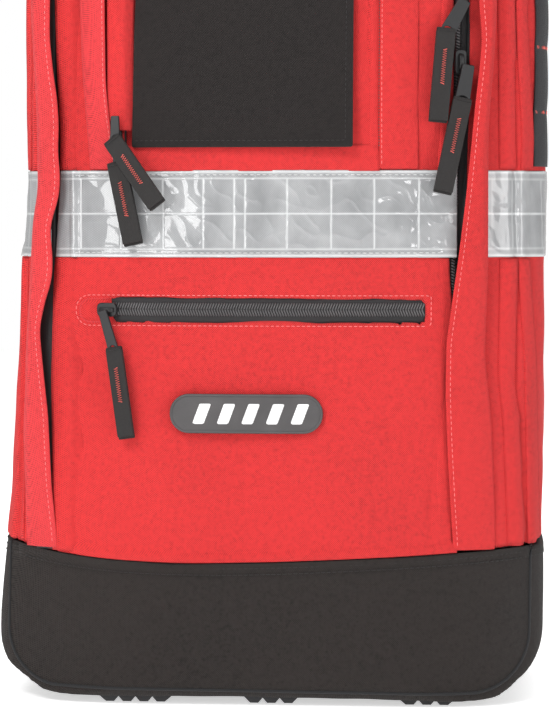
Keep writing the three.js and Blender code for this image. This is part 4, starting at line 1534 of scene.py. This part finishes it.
def outward(line, i):
    """The left-hand normal of a 2-D line at one of its points."""
    along = np.array(line[min(i + 1, len(line) - 1)]) - np.array(line[max(i - 1, 0)])
    along = along / np.linalg.norm(along)
    return np.array([-along[1], along[0]])


def sway(z):
    return SWAY * float(smoothstep((500 - z) / 270))


def inflate(piece, shrink, swell):
    """Fills a pad: a cloth simulation swells it from a smaller shape, and no point moves beyond swell."""
    start = coordinates(piece) - normals(piece) * shrink
    set_coordinates(piece, start)
    scene = bpy.context.scene
    cloth = piece.modifiers.new("cloth", "CLOTH")
    cloth.settings.use_pressure = True
    cloth.settings.uniform_pressure_force = 4
    cloth.settings.effector_weights.gravity = 0
    for moment in range(1, 21):
        scene.frame_set(moment)
    evaluated = piece.evaluated_get(bpy.context.evaluated_depsgraph_get())
    move = vertex_values(evaluated.data, "co") / MM - start
    reach = np.linalg.norm(move, axis=1)
    share = np.minimum(1, swell / np.maximum(reach, 1e-6))
    piece.modifiers.clear()
    scene.frame_set(1)
    set_coordinates(piece, start + move * share[:, None])


def pad_piece(node, channels, floor_y=None):
    """A foam pad under air mesh, with sewn channels; floor_y is the flat surface that it lies on."""
    piece = remeshed_copy(node, f"{node}_foam", 4.5, 3)
    inflate(piece, PAD_SHRINK, PAD_SWELL)
    modify(piece, "SUBSURF", levels=1, render_levels=1)
    apply_modifiers(piece)
    crumple(piece, [(34, 0.5, 13)], channels)
    if floor_y is not None:
        points = coordinates(piece)
        points[:, 1] = np.maximum(points[:, 1], floor_y)
        set_coordinates(piece, points)
    smooth(piece.data)
    finish_piece(piece, "air", "bag", "air_mesh", node)


def groove(values, at, depth, width):
    return -depth * np.exp(-(((values - at) / width) ** 2))


def closed_tube(name, dots, radius):
    make(name, tube_mesh([Vector(p) for p in dots], radius, 8, closed=True), "binding", "bag", "air_mesh")


def add_back_pads():
    base = BACK_Y + 0.5
    for side, sign in SIDES:
        def channels(points, out):
            face = smoothstep(out[:, 1] * 2)
            return face * (groove(points[:, 2], 300, 3.2, 3.4) + groove(points[:, 2], 385, 3.2, 3.4))

        pad_piece(f"back_pad_{side}", channels, floor_y=base)
        x0, x1 = sorted((14 * sign, 98 * sign))
        rim = [(x, base + 1.6, z) for x, z in resample(box_ring(x0, 215, x1, 470, 26, 8), 3)]
        closed_tube(f"back_pad_{side}_piping", rim, 1.9)

    def lumbar(points, out):
        face = smoothstep(out[:, 1] * 2)
        return face * (groove(points[:, 0], -31, 3.4, 3.6) + groove(points[:, 0], 31, 3.4, 3.6))

    pad_piece("lumbar_pad", lumbar, floor_y=base)
    rim = [(x, base + 1.6, z) for x, z in resample(box_ring(-92, 102, 92, 190, 26, 8), 3)]
    closed_tube("lumbar_pad_piping", rim, 1.9)


def strap_line(sign, path, shift, out, step=4.0):
    """A line of (y, z) points as places and facings, shifted across by shift(z) and outwards by out."""
    line = spline(path, step)
    places, facings = [], []
    for i, (y, z) in enumerate(line):
        side = outward(line, i)
        places.append(Vector((sign * shift(z), y + side[0] * out, z + side[1] * out)))
        facings.append(Vector((0, side[0], side[1])))
    return places, facings


def add_shoulder_straps():
    for side, sign in SIDES:
        def channels(points, out):
            middle = sign * (STRAP_X + np.vectorize(sway)(points[:, 2]))
            return -1.1 * np.exp(-((((points[:, 0] - middle) / 15) ** 2) - 1) ** 2 * 30)

        pad_piece(f"shoulder_strap_{side}", channels)
        for edge, part in ((-1, "inner"), (1, "outer")):
            rim = edge * (STRAP_WIDTH / 2 - 1.2)
            dots, _ = strap_line(sign, STRAP_PATH, lambda z: STRAP_X + sway(z) + rim, 0)
            piping = tube_mesh(dots, 2.2, 8)
            make(f"shoulder_strap_{side}_piping_{part}", piping, "binding", "bag", "air_mesh")
        over = STRAP_THICK / 2 + 2.2
        places, facings = strap_line(sign, STRAP_PATH[1:], lambda z: STRAP_X + sway(z), over)
        ribbon = ribbon_mesh(places, facings, 25, 2.0)
        make(f"shoulder_strap_{side}_webbing", ribbon, "webbing", "bag", "webbing")
        tacks = []
        across = Vector((11, 0, 0))
        for spot, facing in list(zip(places, facings))[6:-3:11]:
            tacks.append(bartack_mesh(spot - across, spot + across, facing, 2.4, 18, 0.3, 1.3))
        make(f"shoulder_strap_{side}_bartacks", joined(tacks), "dark_thread", "bag", "webbing")

        places, facings = strap_line(sign, WEB_PATH, lambda z: STRAP_X + SWAY, 0)
        ribbon = ribbon_mesh(places, facings, 25, 2.0)
        node = f"strap_webbing_{side}"
        make(f"{node}_ribbon", ribbon, "webbing", "bag", "webbing", node)
        # The webbing turns round the bar of the ladder lock, and its tail hangs in front of it.
        tail_path = [(150.5, 217), (149.5, 210), (147, 196), (141, 172), (134, 148)]
        places, facings = strap_line(sign, tail_path, lambda z: STRAP_X + SWAY, 0)
        ribbon = ribbon_mesh(places, facings, 25, 1.8)
        make(f"strap_tail_{side}", ribbon, "webbing", "bag", "webbing")
        dress_node(f"ladder_lock_{side}", "nylon", 1.3, 3)
        path = [(85.0, 526), (85.4, 540), *LIFTER_PATH[::-1][1:], (139, 514)]
        places, facings = strap_line(sign, path, lambda z: STRAP_X, 0, 3.0)
        ribbon = ribbon_mesh(places, facings, 20, 2.0)
        node = f"load_lifter_{side}"
        make(f"{node}_ribbon", ribbon, "webbing", "bag", "webbing", node)
        start, end = ((sign * STRAP_X + reach, 86.6, 530) for reach in (-9, 9))
        foot = bartack_mesh(start, end, (0, 1, 0), 2.4, 16, 0.3)
        make(f"{node}_bartack", foot, "dark_thread", "bag", "webbing")


def blended(piece, replaced, body, start, end):
    """Webbing in the webbing look, put in place of a CAD node; it is not held to the bag or to any other
    body.
    """
    piece.data.materials.append(kit["webbing"])
    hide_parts(replaced)
    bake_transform(piece)
    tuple(start)
    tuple(end)


def level_ribbon(name, path, z, width):
    """Webbing that stands on edge along (x, y) points at one height."""
    line = spline(path, 4.0)
    places = [Vector((x, y, z)) for x, y in line]
    facings = []
    for i in range(len(line)):
        side = outward(line, i)
        facings.append(Vector((side[0], side[1], 0)) * (1 if side[1] > 0 else -1))
    return mesh_piece(name, *ribbon_mesh(places, facings, width, 1.8))


def add_buckle(name, y, z, female, male, reach, web, body):
    """A side-release buckle: x-ranges, width and thickness of its halves, and how far the prongs reach."""
    upright = shifted(0, y, z) @ UPRIGHT
    x0, x1, width, thick = female
    half = width / 2
    waist = x0 + (x1 - x0) * 0.5
    lower = [(x0, -half * 0.8, 1.2), (x0 + 5, -half, 2), (x0 + 6, -half + 3.6, 1.2),
             (waist, -half + 3.6, 1.6), (waist + 3, -half, 2), (x1, -half, 3.4)]
    rim = ring(lower + [(a, -b, corner) for a, b, corner in lower[::-1]], 3)
    bars = [box_ring(x1 - 9, -web / 2 - 0.6, x1 - 6.2, web / 2 + 0.6, 1, 3),
            box_ring(x1 - 4.4, -web / 2 - 0.6, x1 - 2, web / 2 + 0.6, 1, 3)]
    shell = plate_piece(f"{name}_buckle_female_shell", [rim, *bars], thick, 1.3, upright)
    finish_piece(shell, "nylon", "bag", "buckle_nylon", f"{name}_buckle_female")
    smooth_by_angle(shell)

    x0, x1, width, thick = male
    half = width / 2
    rim = ring([(x0, -half, 3), (x1, -half, 1.6), (x1, half, 1.6), (x0, half, 3)], 4)
    bars = [box_ring(x0 + 2.2, -web / 2 - 0.5, x0 + 4.8, web / 2 + 0.5, 1, 3),
            box_ring(x0 + 7, -web / 2 - 0.5, x0 + 10, web / 2 + 0.5, 1, 3)]
    plate = plate_piece(f"{name}_buckle_male_plate", [rim, *bars], thick, 1.2, upright)
    prongs = []
    for side in (-1, 1):
        low, high = sorted((side * (half - 5.4), side * (half - 2.2)))
        outer = side * (half - 0.9)
        tip = [(x1 - 2, low, 0.6), (reach, low, 1), (reach, high, 1), (x1 - 2, high, 0.6)]
        prongs.append(plate_piece(f"prong_{side}", [ring(tip, 3)], thick - 4.2, 0.6, upright))
        pad = box_ring(x1 + 7, min(high, outer) - 0.4, x1 + 12, max(high, outer), 0.8, 3)
        prongs.append(plate_piece(f"button_{side}", [pad], thick - 4.4, 0.6, upright))
    ribs = []
    for k in range(3):
        x = x0 + 13 + k * 2.6
        if x < x1 - 2:
            rib = [Vector((x, y + thick / 2 - 0.2, z + end * (half - 4))) for end in (-1, 1)]
            ribs.append(mesh_piece(f"rib_{k}", *tube_mesh(rib, 0.7, 8)))
    made = join_pieces(f"{name}_buckle_male_body", [plate, *prongs, *ribs])
    made.data.materials.clear()
    finish_piece(made, "nylon", body, "buckle_nylon", f"{name}_buckle_male")
    smooth_by_angle(made)


def add_chest_and_hip_straps():
    y, z = STERNUM_Y, STERNUM_Z
    left = level_ribbon("sternum_webbing_left_ribbon", [(-72, y - 0.6), (-40, y), (-21, y)], z, 20)
    ends = (-0.070, y * MM, z * MM), (-0.030, y * MM, z * MM)
    blended(left, "sternum_webbing_left", "sternum_release", *ends)
    right = level_ribbon("sternum_webbing_right_ribbon", [(25, y), (50, y), (72, y - 0.6)], z, 20)
    finish_piece(right, "webbing", "bag", "webbing", "sternum_webbing_right")
    add_buckle("sternum", y, z, (-3, 31, 29, 9), (-28, -3.4, 27, 8), 14, 20, "sternum_release")
    for side, sign in SIDES:
        place = shifted(sign * 66, y - 2.6, z) @ UPRIGHT
        clip = plate_piece(f"sternum_clip_{side}", [box_ring(-14, -13, 14, 13, 3)], 2.4, 0.7, place)
        finish_piece(clip, "nylon", "bag", "buckle_nylon")
        smooth_by_angle(clip)

    y, z = HIP_Y, HIP_Z
    for side, sign in SIDES:
        def channels(points, out):
            return groove(points[:, 2], HIP_Z + 22, 1.8, 3) + groove(points[:, 2], HIP_Z - 22, 1.8, 3)

        pad_piece(f"hip_wing_{side}", channels)
        for edge, part in ((-1, "lower"), (1, "upper")):
            dots = [Vector((sign * a, b, HIP_Z + edge * 38.8)) for a, b in spline(WING_PATH, 4)]
            piping = tube_mesh(dots, 2.2, 8)
            make(f"hip_wing_{side}_piping_{part}", piping, "binding", "bag", "air_mesh")
    path = [(-128, 157.2), (-119, 160.6), (-106, y), (-70, y), (-34, y)]
    left = level_ribbon("hip_webbing_left_ribbon", path, z, 38)
    ends = (-0.112, y * MM, z * MM), (-0.044, y * MM, z * MM)
    blended(left, "hip_webbing_left", "hip_release", *ends)
    path = [(37.5, y), (80, y), (106, y), (119, 160.6), (128, 157.2)]
    right = level_ribbon("hip_webbing_right_ribbon", path, z, 38)
    finish_piece(right, "webbing", "bag", "webbing", "hip_webbing_right")
    add_buckle("hip", y, z, (-4, 46, 50, 12), (-42, -4.4, 47, 11), 24, 38, "hip_release")
    for side, sign in SIDES:
        start, end = ((sign * 113, y + 0.9, z + reach) for reach in (-16, 16))
        tack = bartack_mesh(start, end, (0, 1, 0), 2.6, 26, 0.3)
        make(f"hip_webbing_{side}_bartack", tack, "dark_thread", "bag", "webbing")


def add_haul_handle():
    """A webbing arch, sewn flat to the top of the bag at both ends, with a padded grip round its middle."""
    middle, y, top = 6.5, 30, 564
    half = [(-73, 562.1), (-62, 562.1), (-54, 563.2), (-44, 571), (-34, 584), (-18, 593)]
    path = [*half, (0, 595), *[(-x, z) for x, z in half[::-1]]]
    line = spline(path, 2.5)
    places = [Vector((middle + x, y, z)) for x, z in line]
    facings = [Vector((outward(line, i)[0], 0, outward(line, i)[1])) for i in range(len(line))]
    web = mesh_piece("haul_handle_ribbon", *ribbon_mesh(places, facings, 25, 2.0, rows=8))
    points = coordinates(web)
    pinch = 1 - 0.5 * np.exp(-(((np.abs(points[:, 0] - middle) - 50) / 8) ** 2))
    points[:, 1] = y + (points[:, 1] - y) * pinch
    set_coordinates(web, points)
    ends = (middle * MM, y * MM, (top - 1) * MM), (middle * MM, y * MM, (top + 11) * MM)
    blended(web, "haul_handle_webbing", "haul_handle", *ends)

    palm = spline([(-28, 587.6), (-14, 593.8), (0, 595), (14, 593.8), (28, 587.6)], 2.5)

    def grip(u, v):
        i = v * (len(palm) - 1)
        x, z = (float(np.interp(i, range(len(palm)), palm[:, c])) for c in (0, 1))
        side = outward(palm, int(round(i)))
        end = min(v, 1 - v)
        swell = 1 - 0.3 * math.exp(-((end / 0.05) ** 2)) + 0.04 * math.sin(v * math.pi)
        angle = 2 * math.pi * u
        wide = 15.4 * math.copysign(abs(math.cos(angle)) ** 0.7, math.cos(angle)) * swell
        deep = 5.3 * math.copysign(abs(math.sin(angle)) ** 0.8, math.sin(angle)) * swell
        return middle + x + side[0] * deep, y + wide, z + side[1] * deep

    points, faces = grid_mesh(28, 40, grip, wrap=True)
    count = len(points)
    faces.append(tuple(range(28))[::-1])
    faces.append(tuple(range(count - 28, count)))
    pad = mesh_piece("haul_handle_grip_pad", points, faces)
    crumple(pad, [(12, 0.3, 14)])
    finish_piece(pad, "air", "haul_handle", "air_mesh", "haul_handle_grip")
    seam = [Vector(grip(0.25 + 0.02, v)) + Vector((0, 0, 0.2)) for v in np.linspace(0.06, 0.94, 22)]
    stitches = stitch_mesh(seam, [Vector((0, 0, 1))] * len(seam))
    make("haul_handle_grip_stitches", stitches, "dark_thread", "haul_handle", "air_mesh")
    boxes = []
    for sign in (-1, 1):
        x0, x1 = sorted((middle + sign * 58, middle + sign * 71))
        corners = [(x0, y - 10), (x1, y - 10), (x1, y + 10), (x0, y + 10), (x0, y - 10), (x1, y + 10)]
        dots = [Vector((a, b, 563.1)) for a, b in resample(corners, 1.5)]
        boxes.append(stitch_mesh(dots, [Vector((0, 0, 1))] * len(dots), 2.6, 1.9, 0.28, 0.05))
    make("haul_handle_box_stitches", joined(boxes), "red_thread", "bag", "webbing")


# ---- Making ------------------------------------------------------


def main():
    add_camera()
    add_studio()
    kit.update(make_materials())
    add_shells()
    add_boot_details()
    add_band()
    add_zips()
    add_sliders()
    add_storm_flaps()
    add_compartment_flaps()
    add_map_flap()
    add_badge()
    add_lips()
    add_daisy_chains()
    add_inside()
    add_back_pads()
    add_shoulder_straps()
    add_chest_and_hip_straps()
    add_haul_handle()
    boxes = {"cad": cad_box, "visual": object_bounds()}
    sizes = {name: [list(corner) for corner in box] for name, box in boxes.items()}


main()
